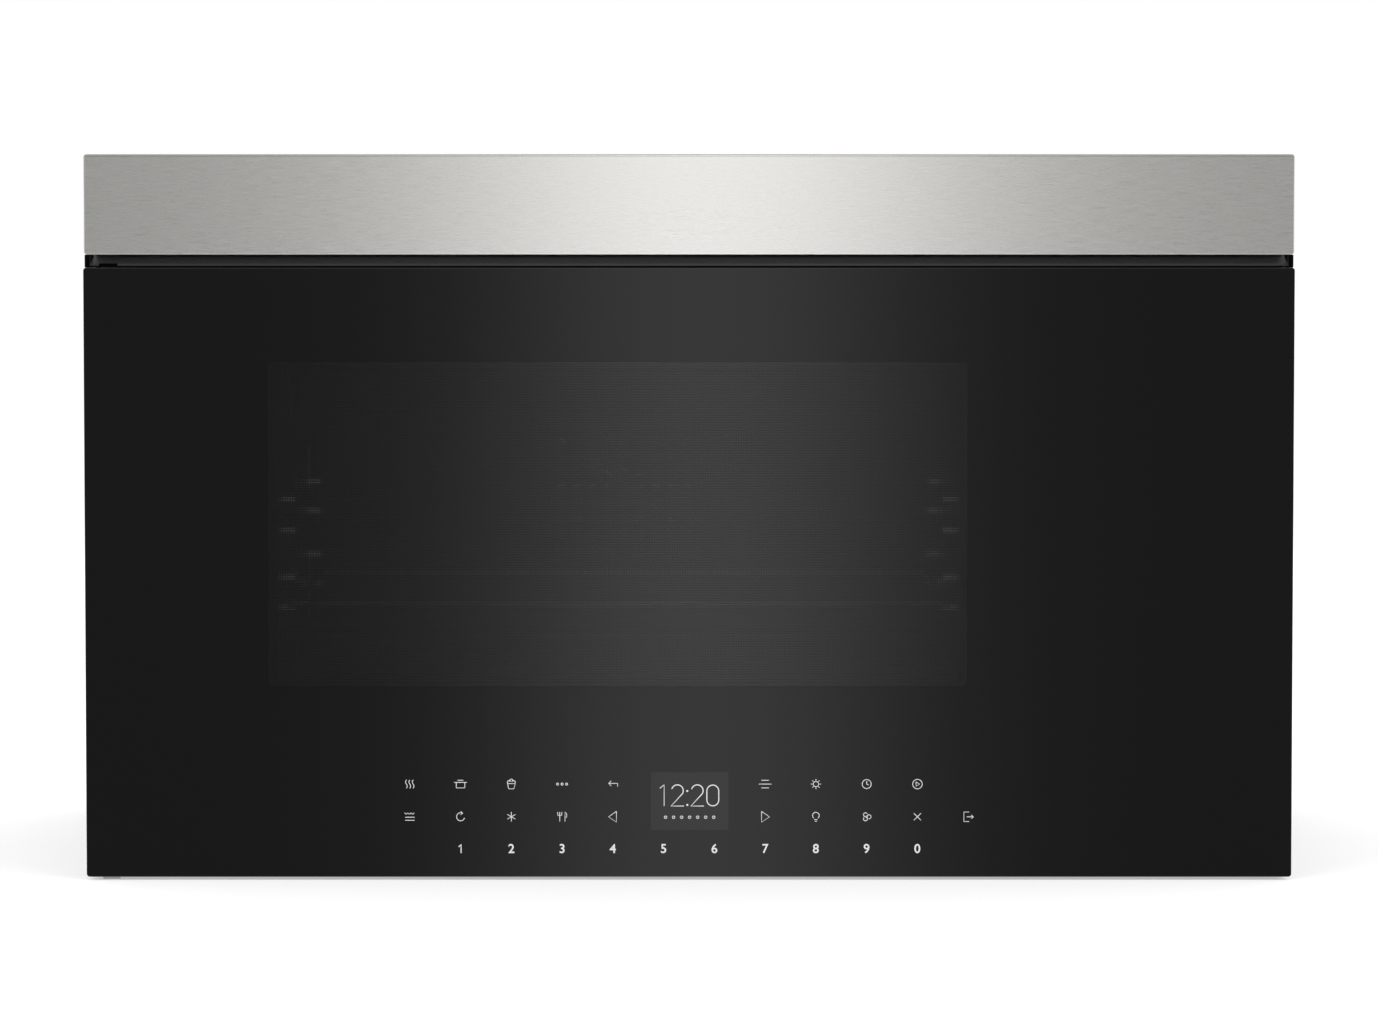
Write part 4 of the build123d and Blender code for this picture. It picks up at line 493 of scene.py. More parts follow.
def curve_mesh(curve):
    """The mesh of a curve or text, which is then removed."""
    holder = in_scene(curve.name, curve)
    bpy.context.view_layer.update()
    seen = holder.evaluated_get(bpy.context.evaluated_depsgraph_get())
    mesh = bpy.data.meshes.new_from_object(seen)
    bpy.data.objects.remove(holder)
    return mesh


def print_on_glass(meshes, name, finish, thickness):
    """Stand flat marks on the front of the door glass as one thin piece."""
    bm = bmesh.new()
    for mesh in meshes:
        deep = max(abs(vertex.co.y) for vertex in mesh.vertices)
        mesh.transform(Matrix.Scale(thickness / deep, 4, (0.0, 1.0, 0.0)))
        bm.from_mesh(mesh)
    bmesh.ops.remove_doubles(bm, verts=bm.verts, dist=SAME_PLACE)
    bmesh.ops.translate(bm, vec=(0.0, GLASS_LOW.y, 0.0), verts=bm.verts)
    new_piece(name, bm, finish, "door")


def lettered(number, height, middle):
    """A number as a thin flat mesh that faces the front, centred on a point."""
    capital_share = 0.72
    text = bpy.data.curves.new("numbers", "FONT")
    text.body = number
    text.align_x = "CENTER"
    text.size = height / capital_share
    text.offset = NUMBER_WEIGHT
    text.extrude = height * 0.01
    text.resolution_u = 6
    mesh = curve_mesh(text)
    mesh.transform(Matrix.Rotation(math.radians(90), 4, "X"))
    low = min(vertex.co.z for vertex in mesh.vertices)
    high = max(vertex.co.z for vertex in mesh.vertices)
    mesh.transform(Matrix.Translation((middle[0], 0.0, middle[1] - (low + high) / 2)))
    return mesh


def arc(centre, radius, start, end, steps=20):
    """Points round an arc, with its angles in degrees."""
    turns = [math.radians(start + (end - start) * step / steps) for step in range(steps + 1)]
    return [(centre[0] + radius * math.cos(t), centre[1] + radius * math.sin(t)) for t in turns]


def drawn(lines, middle, reach, width):
    """Lines on a sign's own grid, from -1 to 1, as flat strokes of one width round a point."""
    curve = bpy.data.curves.new("strokes", "CURVE")
    curve.dimensions = "3D"
    curve.bevel_depth = width / 2
    curve.bevel_resolution = 1
    curve.use_fill_caps = True
    for points in lines:
        spline = curve.splines.new("POLY")
        spline.points.add(len(points) - 1)
        for place, (across, up) in zip(spline.points, points):
            place.co = (middle[0] + across * reach, 0.0, middle[1] + up * reach, 1.0)
    return curve_mesh(curve)


def ring(centre, radius):
    """Points of a full circle."""
    return arc(centre, radius, 0.0, 360.0, 24)


def spokes(count, inner, outer, start=0.0):
    """Short lines that point away from the middle."""
    turns = [math.radians(start + 360.0 * step / count) for step in range(count)]
    return [[(inner * math.cos(t), inner * math.sin(t)), (outer * math.cos(t), outer * math.sin(t))]
            for t in turns]


def wave(middle, low, high, swing):
    """A rising line that swings to each side once."""
    steps = 12
    return [(middle + swing * math.sin(2.0 * math.pi * step / steps),
             low + (high - low) * step / steps) for step in range(steps + 1)]


SIGNS = {
    "hot_air": [wave(middle, -0.9, 0.9, 0.18) for middle in (-0.7, 0.0, 0.7)],
    "pot": [[(-0.9, 0.35), (-0.9, -0.8), (0.9, -0.8), (0.9, 0.35)], [(-1.35, 0.35), (1.35, 0.35)],
            [(-0.6, 0.8), (0.6, 0.8)]],
    "corn": [[(-0.8, 0.1), (-0.55, -1.0), (0.55, -1.0), (0.8, 0.1), (-0.8, 0.1)],
             arc((-0.45, 0.35), 0.38, 20.0, 220.0), arc((0.45, 0.35), 0.38, -40.0, 160.0),
             arc((0.0, 0.65), 0.38, -10.0, 190.0)],
    "more": [ring((across, 0.0), 0.22) for across in (-0.95, 0.0, 0.95)],
    "return": [[(1.0, -0.55), (1.0, 0.15), (-0.9, 0.15)],
               [(-0.35, 0.7), (-0.9, 0.15), (-0.35, -0.4)]],
    "list": [[(-0.8, 0.8), (0.8, 0.8)], [(-1.35, 0.0), (1.35, 0.0)], [(-0.8, -0.8), (0.8, -0.8)]],
    "gear": [ring((0.0, 0.0), 0.55)] + spokes(8, 0.72, 1.05),
    "clock": [ring((0.0, 0.0), 0.95), [(0.0, 0.6), (0.0, 0.0), (0.42, -0.2)]],
    "start": [ring((0.0, 0.0), 1.0), [(-0.3, 0.45), (0.5, 0.0), (-0.3, -0.45), (-0.3, 0.45)]],
    "grill": [[(-1.1, 0.85), (-0.8, 0.5), (-0.45, 0.85), (-0.1, 0.5), (0.25, 0.85), (0.6, 0.5),
               (0.95, 0.85)], [(-1.0, -0.1), (1.0, -0.1)], [(-1.0, -0.75), (1.0, -0.75)]],
    "again": [arc((0.0, 0.0), 0.85, 60.0, 345.0), [(0.05, 1.15), (0.45, 0.75), (0.0, 0.42)]],
    "frost": spokes(6, 0.0, 1.0, 30.0),
    "cutlery": [[(-0.5, 1.0), (-0.5, -1.0)], [(-0.95, 1.0), (-0.9, 0.3), (-0.1, 0.3), (-0.05, 1.0)],
                [(0.6, -1.0), (0.6, 1.0), (0.95, 0.6), (0.95, -0.1), (0.6, -0.1)]],
    "back_page": [[(0.75, 1.15), (-0.9, 0.0), (0.75, -1.15), (0.75, 1.15)]],
    "next_page": [[(-0.75, 1.15), (0.9, 0.0), (-0.75, -1.15), (-0.75, 1.15)]],
    "lamp": [arc((0.0, 0.25), 0.7, -50.0, 230.0), [(-0.35, -0.6), (0.35, -0.6)],
             [(-0.25, -0.95), (0.25, -0.95)]],
    "fan": [ring((0.0, 0.0), 0.16)] + [arc((0.5 * math.cos(t), 0.5 * math.sin(t)), 0.42,
                                           math.degrees(t) - 100.0, math.degrees(t) + 150.0)
                                       for t in (0.0, math.radians(120), math.radians(240))],
    "cancel": [[(-0.75, -0.75), (0.75, 0.75)], [(-0.75, 0.75), (0.75, -0.75)]],
    "door": [[(0.2, 1.0), (-0.9, 1.0), (-0.9, -1.0), (0.2, -1.0)], [(-0.3, 0.0), (1.1, 0.0)],
             [(0.65, 0.4), (1.1, 0.0), (0.65, -0.4)]],
}
# The keys from left to right. None is a place with no key.
TOP_KEYS = ("hot_air", "pot", "corn", "more", "return", None, None, "list", "gear", "clock",
            "start", None)
MIDDLE_KEYS = ("grill", "again", "frost", "cutlery", "back_page", None, None, "next_page", "lamp",
               "fan", "cancel", "door")
NUMBER_KEYS = (None, "1", "2", "3", "4", "5", "6", "7", "8", "9", "0", None)

# The key's 1 is drawn, because the font's has no flag. Its lines are as wide as the font's.
KEY_ONE = [[(-0.42, 0.36), (0.08, 0.80), (0.08, -0.98)]]
KEY_ONE_LINE = 1.15 * MM
NUMBER_WEIGHT = 0.12 * MM

# The clock's figures, and how far each stands from the middle in halves of a figure's height.
ONE = [[(-0.35, 0.68), (0.05, 1.0), (0.05, -1.0)]]
TWO = [arc((0.0, 0.45), 0.55, 165.0, -30.0) + [(-0.6, -1.0), (0.62, -1.0)]]
NOUGHT = [arc((0.0, 0.42), 0.56, 180.0, 0.0) + arc((0.0, -0.42), 0.56, 0.0, -180.0)
          + [(-0.56, 0.42)]]
COLON = [ring((0.0, 0.42), 0.05), ring((0.0, -0.9), 0.05)]
CLOCK = ((ONE, -2.45), (TWO, -1.15), (COLON, -0.22), (TWO, 0.72), (NOUGHT, 2.18))
DAY_ROW = 39.8 * MM
DAY_REACH = 4.4 * MM
DAYS = [ring((day * 1.15, 0.0), 0.18) for day in range(-3, 4)]

# Where the case screws seat, and the way that their heads face.
ROOF_SCREW_Y, ROOF_SCREW_Z = -0.188, 0.455
SIDE_SCREW_X, SIDE_SCREW_Z = 0.377, 0.008
SCREW_SPOTS = [((x, ROOF_SCREW_Y, ROOF_SCREW_Z), (0, 0, 1)) for x in (-0.25, 0.0, 0.25)]
SCREW_SPOTS += [((side * SIDE_SCREW_X, y, SIDE_SCREW_Z), (side, 0, 0))
                for side in (-1, 1) for y in (-0.166, 0.0, 0.2085)]


# ---- Operators ----


class MICROWAVE_OT_finish_case(bpy.types.Operator):
    """Paint the cover, plate the sheet metal and brush the fascia"""

    bl_idname = "microwave.finish_case"
    bl_label = "Case finishes"

    def execute(self, context):
        settings = context.scene.microwave_finish
        dress("stainless", brushed_stainless(settings))
        dress("case_paint", painted("case_powder_paint", settings.case, 0.46))
        # The upper arm, which sits in the dark slot, is near black, and the lower arm zinc grey.
        dress_node("upper_hinge_arm", dull_black("upper_hinge_near_black", 0.006))
        dress_node("lower_hinge_arm", bare_metal("hinge_zinc", (0.50, 0.50, 0.49), 0.4,
                                                 (1.0, 0.1, 1.0)))
        dress("front_paint", painted("front_plate_paint", (0.02, 0.02, 0.021), 0.5))
        dress("zinc_sheet", zinc_sheet(settings.zinc))
        dress("outlet_plastic", vent_guide(settings))
        dress("black_plastic", moulded("black_moulding", settings.plastic, 0.42))
        dress_node("slot_end_caps", slot_end_black())
        dress("black_rubber", moulded("black_rubber", (0.012, 0.012, 0.012), 0.75, 0.00006, 900.0))
        charcoal = Finish("charcoal_granules", (0.012, 0.012, 0.012), 0.85)
        grains = charcoal.cells(420.0)
        charcoal.shade(grains, 0.3, (0.05, 0.05, 0.05)).raised(grains, 0.0008)
        dress("charcoal", charcoal)
        return {"FINISHED"}


class MICROWAVE_OT_finish_door(bpy.types.Operator):
    """Give the door its printed glass, perforated screen and inner glass"""

    bl_idname = "microwave.finish_door"
    bl_label = "Door finishes"

    def execute(self, context):
        settings = context.scene.microwave_finish
        glass_lap = 7.7 * MM
        lap = Vector((glass_lap, 0.0, glass_lap))
        low, high = INNER_LOW + lap, INNER_HIGH - lap
        dress("black_glass", door_glass(settings, low, high))
        dress("screen_paint", perforated_screen(low, high))
        dress("clear_glass", clear_glass("float_glass", (0.86, 0.90, 0.88), 0.03))
        display = Finish("display_panel", (0.03, 0.031, 0.033), 0.25)
        dress("display_black", display.patchy(60.0, 0.06, 0.04))
        dress("bush_plastic", moulded("bearing_plastic", (0.62, 0.61, 0.57), 0.4))
        lens = Finish("frosted_lens", (0.82, 0.82, 0.80), 0.4)
        lens.fixed("Transmission Weight", 0.25)
        ribs = lens.ribs(150.0)
        dress_node("lamp_lenses", lens.gloss(ribs, 0.08).raised(ribs, 0.0001))
        return {"FINISHED"}


class MICROWAVE_OT_finish_cavity(bpy.types.Operator):
    """Enamel the cavity and finish its floor, rack, clips and heaters"""

    bl_idname = "microwave.finish_cavity"
    bl_label = "Cavity finishes"

    def execute(self, context):
        settings = context.scene.microwave_finish
        enamel = Finish("cavity_enamel", settings.cavity, 0.24)
        specks = enamel.between(enamel.cells(700.0), 1.0, 0.0, 0.10, 0.22)
        enamel.shade(specks, 0.12, (0.42, 0.42, 0.43)).gloss(enamel.cloud(8.0), 0.05)
        dress("cavity_enamel", enamel.raised(enamel.cloud(260.0), 0.00003))
        ceramic = Finish("floor_ceramic", settings.ceramic, 0.14)
        specks = ceramic.between(ceramic.cells(900.0), 1.0, 0.0, 0.08, 0.2)
        ceramic.shade(specks, 0.05, (0.40, 0.38, 0.34)).gloss(ceramic.cloud(10.0), 0.04)
        dress("floor_ceramic", ceramic)
        dress_node("convection_drum", painted("drum_enamel", (0.12, 0.12, 0.12), 0.5))
        dress_node("convection_wheel", bare_metal("wheel_steel", (0.16, 0.16, 0.16), 0.5,
                                                  (1.0, 0.2, 1.0), 0.4))
        dress("rack_chrome", bare_metal("rack_chrome", (0.72, 0.72, 0.73), 0.10, (1.0, 0.1, 1.0)))
        # The clips glow slightly of themselves: a painted glint, as they are no lamps.
        clips = bare_metal("clip_steel", (0.70, 0.70, 0.70), 0.24, (1.0, 0.2, 1.0))
        dress("clip_steel", clips.glow(WHITE, 0.12))
        tube = Finish("heat_darkened_tube", (0.10, 0.09, 0.085), 0.48, 0.6)
        patches = tube.cloud(45.0, 4.0)
        tube.shade(patches, 0.2, (0.20, 0.13, 0.09)).gloss(patches, 0.1)
        dress("heater_tube", tube.raised(tube.cloud(900.0), 0.00003))
        return {"FINISHED"}


class MICROWAVE_OT_finish_machinery(bpy.types.Operator):
    """Finish the motors, boards, wheels, filters and other parts inside the case"""

    bl_idname = "microwave.finish_machinery"
    bl_label = "Machinery finishes"

    def execute(self, context):
        for slot, base, roughness, stretch in (
                ("motor_steel", (0.50, 0.50, 0.51), 0.36, (1.0, 1.0, 0.05)),
                ("spring_steel", (0.55, 0.55, 0.56), 0.22, (0.2, 1.0, 1.0)),
                ("screw_zinc", (0.62, 0.63, 0.66), 0.26, (1.0, 1.0, 1.0)),
                ("can_aluminium", (0.68, 0.69, 0.70), 0.28, (1.0, 1.0, 0.03))):
            dress(slot, bare_metal(slot, base, roughness, stretch))
        dress("wheel_plastic", moulded("wheel_plastic", (0.05, 0.05, 0.052), 0.5))
        core = Finish("laminated_core", (0.10, 0.105, 0.12), 0.5, 0.5)
        plates = core.ribs(160.0)
        dress("core_steel", core.shade(plates, 0.3, (0.20, 0.20, 0.22)).raised(plates, 0.0002))
        mesh = Finish("filter_aluminium", (0.66, 0.67, 0.68), 0.34, 1.0)
        weave = mesh.cells(520.0, "DISTANCE_TO_EDGE", (1.0, 0.55, 1.0))
        mesh.shade(mesh.cloud(14.0), 0.07).gloss(mesh.cloud(120.0), 0.08)
        dress("mesh_aluminium", mesh.raised(weave, 0.00008))
        board = Finish("board_green", (0.010, 0.075, 0.035), 0.32)
        tracks = board.node("TexBrick", {"offset": 0.5}, Vector=board.place, Scale=90.0)
        board.join(0.03, tracks.inputs["Mortar Size"])
        dress("board_green", board.shade(tracks.outputs["Fac"], 0.15, (0.03, 0.16, 0.07)))
        lamp = Finish("lamp_white", (0.80, 0.80, 0.78), 0.3)
        dress("lamp_white", lamp.shade(lamp.cloud(20.0), 0.04).raised(lamp.ribs(120.0), 0.0001))
        return {"FINISHED"}


class MICROWAVE_OT_print_keys(bpy.types.Operator):
    """Print the numbers and signs of the touch keys on the door glass"""

    bl_idname = "microwave.print_keys"
    bl_label = "Key marks"

    def execute(self, context):
        marks = context.scene.microwave_marks
        ink = Finish("key_ink", marks.ink, 0.5)
        # The print glows slightly of itself: painted light, as the ink is no lamp.
        ink.shade(ink.cloud(400.0), 0.03).glow(marks.ink, 0.08)
        numbers, signs = [], []
        for column, (top, middle, number) in enumerate(zip(TOP_KEYS, MIDDLE_KEYS, NUMBER_KEYS)):
            x = OBJECT_MIDDLE + (column - (len(TOP_KEYS) - 1) / 2) * marks.key_pitch
            for sign, row in ((top, marks.top_row), (middle, marks.middle_row)):
                if sign:
                    signs.append(drawn(SIGNS[sign], (x, row), marks.sign_reach, marks.line))
            place = (x, marks.number_row)
            if number == "1":
                numbers.append(drawn(KEY_ONE, place, marks.number_height / 2, KEY_ONE_LINE))
            elif number:
                numbers.append(lettered(number, marks.number_height, place))
        print_on_glass(numbers, "key_numbers", ink, marks.thickness)
        print_on_glass(signs, "key_signs", ink, marks.thickness)
        return {"FINISHED"}


class MICROWAVE_OT_print_clock(bpy.types.Operator):
    """Show the clock's thin numbers and a row of day dots on the display"""

    bl_idname = "microwave.print_clock"
    bl_label = "Clock"

    def execute(self, context):
        marks = context.scene.microwave_marks
        light = Finish("clock_light", marks.ink, 0.5)
        light.shade(light.cloud(300.0), 0.03).glow(marks.ink, 0.10)
        half = marks.clock_height / 2
        middle = (DISPLAY_LOW.x + DISPLAY_HIGH.x) / 2
        shapes = [drawn(figure, (middle + across * half, marks.clock_middle), half,
                        marks.clock_line) for figure, across in CLOCK]
        print_on_glass(shapes, "clock_figures", light, marks.thickness)
        row = drawn(DAYS, (middle, DAY_ROW), DAY_REACH, marks.line)
        print_on_glass([row], "day_dots", light, marks.thickness)
        return {"FINISHED"}


class MICROWAVE_OT_case_screws(bpy.types.Operator):
    """Fit the case screws with rounded heads and crossed recesses"""

    bl_idname = "microwave.case_screws"
    bl_label = "Case screws"

    def execute(self, context):
        bm = bmesh.new()
        for spot, along in SCREW_SPOTS:
            screw = self.screw()
            aim = Vector(along).to_track_quat("Z", "Y").to_matrix().to_4x4()
            bmesh.ops.transform(screw, matrix=Matrix.Translation(spot) @ aim, verts=screw.verts)
            bm.from_mesh(as_mesh("screw", screw))
        finish = bare_metal("screw_head_zinc", (0.62, 0.63, 0.66), 0.26, (1.0, 1.0, 1.0))
        piece = new_piece("screw_heads", bm, finish, "cabinet")
        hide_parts("case_screws")
        return {"FINISHED"}

    @staticmethod
    def screw():
        """One screw that seats at the origin, with a rounded head and a crossed recess."""
        head_radius, head_height, shank_length = 3.4 * MM, 2.0 * MM, 7.0 * MM
        recess_size = (3.1 * MM, 0.6 * MM, 0.16 * MM, 1)
        bm = bmesh.new()
        bmesh.ops.create_cone(bm, cap_ends=True, segments=32, radius1=head_radius,
                              radius2=head_radius, depth=head_height,
                              matrix=Matrix.Translation((0.0, 0.0, head_height / 2)))
        rim = [edge for edge in bm.edges
               if all(vertex.co.z > head_height - 0.1 * MM for vertex in edge.verts)]
        bmesh.ops.bevel(bm, geom=rim, offset=1.1 * MM, segments=4, affect="EDGES", profile=0.5,
                        material=-1)
        bmesh.ops.create_cone(bm, cap_ends=True, segments=16, radius1=1.4 * MM, radius2=1.9 * MM,
                              depth=shank_length,
                              matrix=Matrix.Translation((0.0, 0.0, -shank_length / 2)))
        top = max(bm.faces, key=lambda face: face.calc_center_median().z)
        bmesh.ops.inset_region(bm, faces=[top], thickness=0.5 * MM)
        bmesh.ops.translate(bm, verts=top.verts, vec=(0.0, 0.0, -0.25 * MM))
        middle = Matrix.Translation((0.0, 0.0, 1.82 * MM))
        for turn in (0, 90):
            aim = Matrix.Rotation(math.radians(turn), 4, "Z")
            bmesh.ops.create_cube(bm, size=1.0, matrix=middle @ aim @ Matrix.Diagonal(recess_size))
        return bm


class MICROWAVE_OT_grease_filters(bpy.types.Operator):
    """Make the grease filters of a folded aluminium frame and layers of expanded mesh"""

    bl_idname = "microwave.grease_filters"
    bl_label = "Grease filters"

    def execute(self, context):
        for side in ("left", "right"):
            node = "grease_filter_" + side
            low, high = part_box(node)
            bm = bmesh.new()
            self.add_frame(bm, low, high)
            for rise, turned in ((1.3, False), (3.6, True), (5.9, False)):
                self.add_mesh(bm, low, high, low.z + rise * MM, turned)
            finish = bare_metal("filter_aluminium_" + side, (0.62, 0.63, 0.64), 0.32,
                                (1.0, 0.2, 1.0))
            piece = new_piece("expanded_mesh_filter_" + side, bm, finish, side + "_filter")
            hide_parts(node)
        return {"FINISHED"}

    @staticmethod
    def add_frame(bm, low, high):
        """A rounded channel all round the filter."""
        channel_width = 10.0 * MM
        rings = []
        for inset in (0.0, channel_width):
            corners = footprint(low, high, inset)
            rings.append([[bm.verts.new((x, y, z)) for x, y in corners] for z in (low.z, high.z)])
        (outer_low, outer_high), (inner_low, inner_high) = rings
        made = []
        for here in range(4):
            after = (here + 1) % 4
            for one, other in ((outer_low, outer_high), (inner_high, inner_low),
                               (inner_low, outer_low), (outer_high, inner_high)):
                made.append(bm.faces.new((one[here], one[after], other[after], other[here])))
        edges = {edge for face in made for edge in face.edges
                 if edge.verts[0].co.z == edge.verts[1].co.z}
        long_edges = [edge for edge in edges if min(abs(edge.verts[0].co.x - edge.verts[1].co.x),
                                                    abs(edge.verts[0].co.y - edge.verts[1].co.y))
                      < 0.1 * MM]
        bmesh.ops.bevel(bm, geom=long_edges, offset=1.6 * MM, segments=3, affect="EDGES",
                        profile=0.5, material=-1)

    @staticmethod
    def add_mesh(bm, low, high, height, turned):
        """One sheet of expanded mesh: rows of diamonds whose strands rise and fall."""
        edge, strand, wave_height = 9.0 * MM, 1.0 * MM, 0.35 * MM
        long_way, short_way = (4.4 * MM, 7.4 * MM) if turned else (7.0 * MM, 4.0 * MM)
        across = high.x - low.x - 2 * edge
        along = high.y - low.y - 2 * edge
        columns, rows = int(across / long_way), int(along / short_way)
        long_way, short_way = across / columns, along / rows
        sheet = bmesh.new()
        points = {}

        def point(column, row):
            """The lattice point at half steps from the sheet's corner."""
            if (column, row) not in points:
                lift = wave_height if row % 2 else -wave_height
                points[column, row] = sheet.verts.new((low.x + edge + column * long_way / 2,
                                                       low.y + edge + row * short_way / 2,
                                                       height + lift))
            return points[column, row]

        faces = []
        for row in range(1, 2 * rows):
            for column in range(1 + row % 2, 2 * columns, 2):
                faces.append(sheet.faces.new((point(column - 1, row), point(column, row - 1),
                                              point(column + 1, row), point(column, row + 1))))
        bmesh.ops.wireframe(sheet, faces=faces, thickness=strand, use_replace=True,
                            use_boundary=True, use_even_offset=True)
        bm.from_mesh(as_mesh("sheet", sheet))


class MICROWAVE_OT_corner_seals(bpy.types.Operator):
    """Close the corners between the slot's end caps and the door with soft strips"""

    bl_idname = "microwave.corner_seals"
    bl_label = "Corner seals"

    def execute(self, context):
        reach, door_gap, setback = 4.6 * MM, 0.01 * MM, 0.2 * MM
        caps_low, caps_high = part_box("slot_end_caps")
        guide_low, guide_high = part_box("vent_outlet")
        bottom = GLASS_HIGH.z + door_gap
        front, back = guide_low.y + setback, caps_high.y
        bm = bmesh.new()
        for side, outer, wall in ((1, caps_high.x, guide_high.x), (-1, caps_low.x, guide_low.x)):
            inner = wall - side * reach
            section = [(outer, bottom), (inner, bottom), (inner, guide_low.z),
                       (wall, guide_low.z), (wall, caps_low.z), (outer, caps_low.z)]
            face = bm.faces.new([bm.verts.new((x, front, z)) for x, z in section])
            swept = bmesh.ops.extrude_face_region(bm, geom=[face])["geom"]
            bmesh.ops.translate(bm, vec=(0.0, back - front, 0.0),
                                verts=[part for part in swept
                                       if isinstance(part, bmesh.types.BMVert)])
        new_piece("slot_corner_seals", bm, dull_black("seal_foam", 0.0015), "cabinet")
        return {"FINISHED"}


# The studio, in metres. The floor's lift is how much it shines, and a lamp's last number is watts.
FLOOR_RADIUS = 30.0
FLOOR_LIFT = 0.41
CARD_DISTANCE = 4.5
CARD_HALF = 6.0
CARD_MIDDLE_X = 0.022
CARD_DIM_TO, CARD_BRIGHT_FROM = 0.65, 1.1
LAMP_SIZE = 2.4
LAMP_AIM = Vector((0.0, 0.0, 0.25))
LAMPS = (("front_left", (-1.9, -2.6, 2.3), 26.0), ("front_right", (2.1, -2.3, 2.0), 20.0),
         ("behind", (0.4, 2.6, 2.2), 24.0))


class MICROWAVE_OT_stage(bpy.types.Operator):
    """Set up the pale floor, the light card, the lamps and the camera"""

    bl_idname = "microwave.stage"
    bl_label = "Stage"

    def execute(self, context):
        stage = context.scene.microwave_stage
        self.set_world(context.scene, stage)
        self.add_floor()
        self.add_card(stage)
        self.add_lamps()
        self.add_camera(context.scene, stage)
        context.scene.view_settings.view_transform = "Standard"
        return {"FINISHED"}

    @staticmethod
    def seen(tree):
        """1 where a camera, mirror or glass ray meets the background, and 0 for plain light."""
        path = tree.nodes.new("ShaderNodeLightPath").outputs
        total = path["Is Camera Ray"]
        for ray in ("Is Glossy Ray", "Is Transmission Ray"):
            both = tree.nodes.new("ShaderNodeMath")
            both.operation = "MAXIMUM"
            tree.links.new(total, both.inputs[0])
            tree.links.new(path[ray], both.inputs[1])
            total = both.outputs[0]
        return total

    def set_world(self, scene, stage):
        """A white background that lights the object at the fill's level."""
        world = bpy.data.worlds.new("studio")
        world.use_nodes = True
        tree = world.node_tree
        level = tree.nodes.new("ShaderNodeMapRange")
        level.inputs["To Min"].default_value = stage.fill
        level.inputs["To Max"].default_value = 1.0
        tree.links.new(self.seen(tree), level.inputs["Value"])
        background = tree.nodes["Background"]
        background.inputs["Color"].default_value = (*WHITE, 1.0)
        tree.links.new(level.outputs[0], background.inputs["Strength"])
        scene.world = world

    def add_floor(self):
        """A pale floor that shows the object's soft shadow and is white elsewhere.

        It is open under the case and clear from beneath, so that the underside shows too.
        """
        bm = bmesh.new()
        bmesh.ops.create_circle(bm, segments=96, radius=FLOOR_RADIUS)
        opening = footprint(*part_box("base_pan"), 6.0 * MM)
        corners = [bm.verts.new((x, y, 0.0)) for x, y in opening]
        for here, after in zip(corners, corners[1:] + corners[:1]):
            bm.edges.new((here, after))
        bmesh.ops.triangle_fill(bm, use_beauty=True, edges=bm.edges, normal=(0.0, 0.0, 1.0))
        pale = Finish("pale_floor", (0.86, 0.86, 0.86), 0.9)
        pale.fixed("Specular IOR Level", 0.0)
        pale.glow(WHITE, pale.sum("MULTIPLY", self.seen(pale.tree), FLOOR_LIFT))
        either = pale.node("MixShader", Fac=pale.node("NewGeometry").outputs["Backfacing"])
        pale.join(pale.shader.outputs[0], either.inputs[1])
        pale.join(pale.node("BsdfTransparent").outputs[0], either.inputs[2])
        pale.join(either.outputs[0], pale.tree.nodes["Material Output"].inputs["Surface"])
        floor = placed("floor", bm, pale)
        floor.location.z = cad_low.z
        floor.visible_glossy = False
        floor.visible_transmission = False

    def add_card(self, stage):
        """A tall card in front of the oven, bright down its middle, that glass and steel mirror."""
        bm = bmesh.new()
        bmesh.ops.create_grid(bm, x_segments=1, y_segments=1, size=1.0)
        bmesh.ops.transform(bm, verts=bm.verts,
                            matrix=Matrix.Translation((0.0, -CARD_DISTANCE, 0.0))
                            @ Matrix.Rotation(math.radians(90), 4, "X")
                            @ Matrix.Diagonal((CARD_HALF, CARD_HALF, 1.0, 1.0)))
        glow = Finish("card_glow", (0.0, 0.0, 0.0), 1.0)
        off = glow.sum("DIVIDE", glow.sum("SUBTRACT", glow.axis("X"), CARD_MIDDLE_X),
                       stage.card_spread)
        bell = glow.sum("EXPONENT", glow.sum("MULTIPLY", glow.sum("POWER", off, 2.0), -0.5))
        level = glow.sum("MULTIPLY_ADD", bell, stage.card_middle, stage.card_edge)
        off_level = glow.sum("ABSOLUTE", glow.axis("Z"))
        taller = glow.between(off_level, 1.0, stage.card_top, CARD_DIM_TO, CARD_BRIGHT_FROM)
        light = glow.node("Emission", Strength=glow.sum("MULTIPLY", level, taller))
        glow.join(light.outputs[0], glow.tree.nodes["Material Output"].inputs["Surface"])
        card = placed("light_card", bm, glow)
        card.visible_camera = False
        card.visible_diffuse = False
        card.visible_shadow = False

    def add_lamps(self):
        """Two large soft lamps over the front of the oven and one behind it."""
        for name, place, power in LAMPS:
            lamp = bpy.data.lights.new(name, "AREA")
            lamp.energy = power
            lamp.size = LAMP_SIZE
            holder = in_scene(name, lamp)
            holder.location = place
            aim = LAMP_AIM - Vector(place)
            holder.rotation_euler = aim.to_track_quat("-Z", "Y").to_euler()
            holder.visible_glossy = False
            holder.visible_camera = False

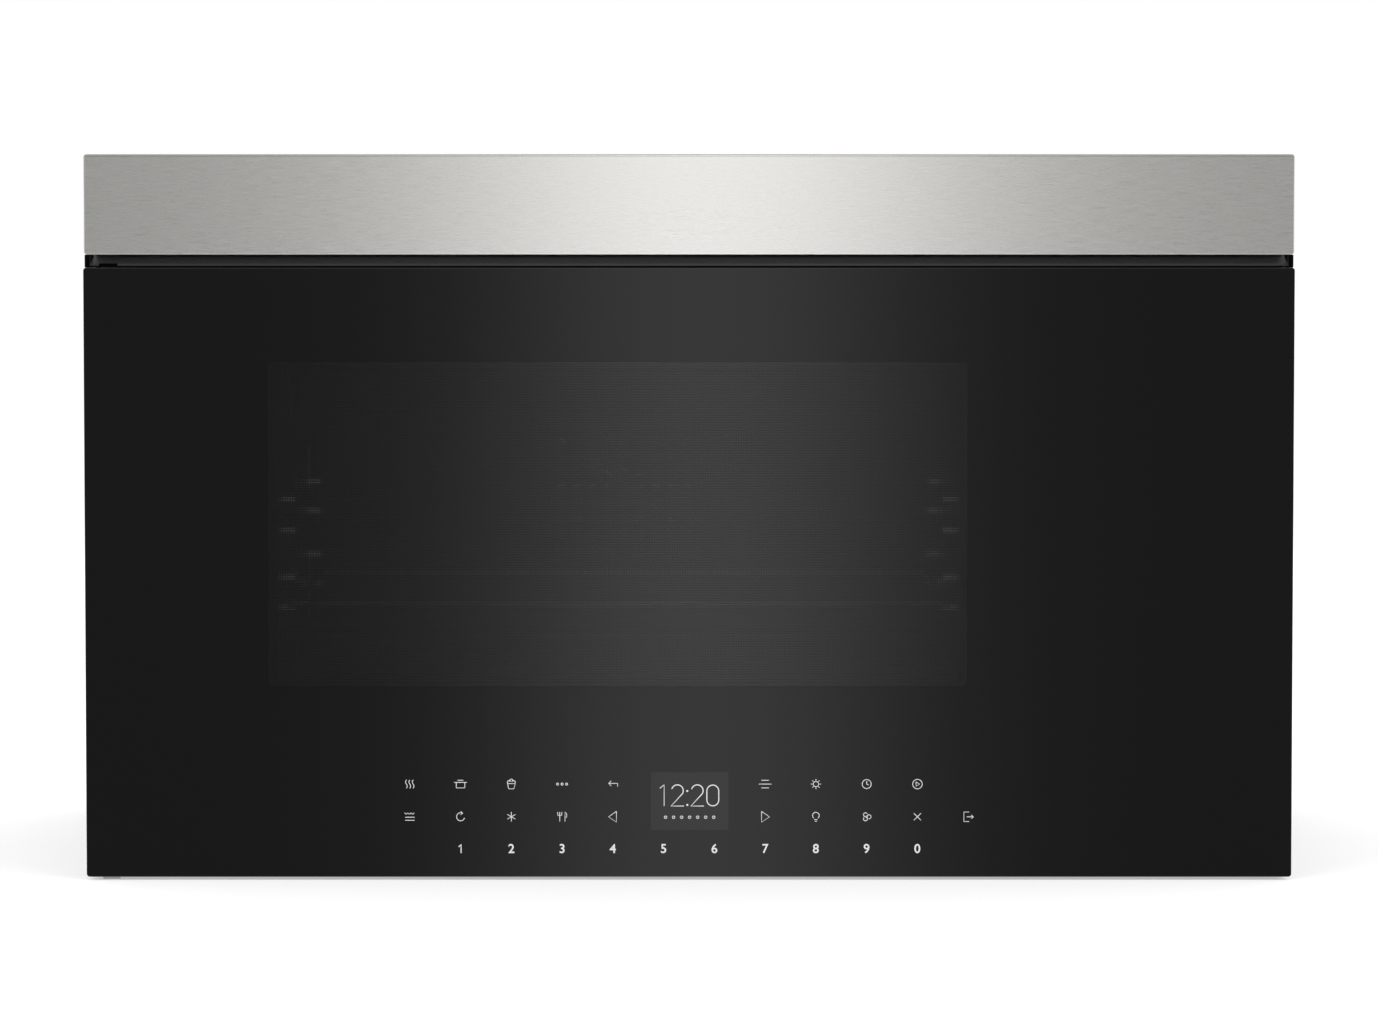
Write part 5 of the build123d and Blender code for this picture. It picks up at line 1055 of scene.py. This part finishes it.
    def add_camera(self, scene, stage):
        """The photograph's camera: level to left and right, and a little above the middle."""
        camera = bpy.data.cameras.new("camera")
        camera.sensor_fit = "HORIZONTAL"
        camera.sensor_width = 36.0
        camera.lens = stage.lens
        camera.clip_start, camera.clip_end = 0.05, 200.0
        holder = in_scene("camera", camera)
        pitch = stage.camera_pitch
        holder.location = (OBJECT_MIDDLE, GLASS_LOW.y - stage.camera_distance * math.cos(pitch),
                           stage.camera_height + stage.camera_distance * math.sin(pitch))
        holder.rotation_euler = (math.radians(90) - pitch, 0.0, 0.0)
        scene.camera = holder


class MICROWAVE_PT_panel(bpy.types.Panel):
    """The steps that dress the oven, in their order"""

    bl_idname = "MICROWAVE_PT_panel"
    bl_label = "Over the range microwave"
    bl_space_type = "VIEW_3D"
    bl_region_type = "UI"
    bl_category = "Microwave"

    def draw(self, context):
        for group in (context.scene.microwave_finish, context.scene.microwave_marks,
                      context.scene.microwave_stage):
            for name in group.__annotations__:
                self.layout.prop(group, name)
        for step in STEPS:
            self.layout.operator(step.bl_idname)


STEPS = (MICROWAVE_OT_finish_case, MICROWAVE_OT_finish_door, MICROWAVE_OT_finish_cavity,
         MICROWAVE_OT_finish_machinery, MICROWAVE_OT_print_keys, MICROWAVE_OT_print_clock,
         MICROWAVE_OT_case_screws, MICROWAVE_OT_grease_filters, MICROWAVE_OT_corner_seals,
         MICROWAVE_OT_stage)
CLASSES = (FinishSettings, MarkSettings, StageSettings) + STEPS + (MICROWAVE_PT_panel,)


def register():
    """Register the classes and hang their settings on the scene."""
    for kind in CLASSES:
        bpy.utils.register_class(kind)
    bpy.types.Scene.microwave_finish = bpy.props.PointerProperty(type=FinishSettings)
    bpy.types.Scene.microwave_marks = bpy.props.PointerProperty(type=MarkSettings)
    bpy.types.Scene.microwave_stage = bpy.props.PointerProperty(type=StageSettings)


def unregister():
    """Take the settings and the classes away again."""
    del bpy.types.Scene.microwave_finish
    del bpy.types.Scene.microwave_marks
    del bpy.types.Scene.microwave_stage
    for kind in reversed(CLASSES):
        bpy.utils.unregister_class(kind)


def main():
    """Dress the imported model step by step."""
    register()
    for step in STEPS:
        group, name = step.bl_idname.split(".")
        getattr(getattr(bpy.ops, group), name)()


if __name__ == "__main__":
    main()
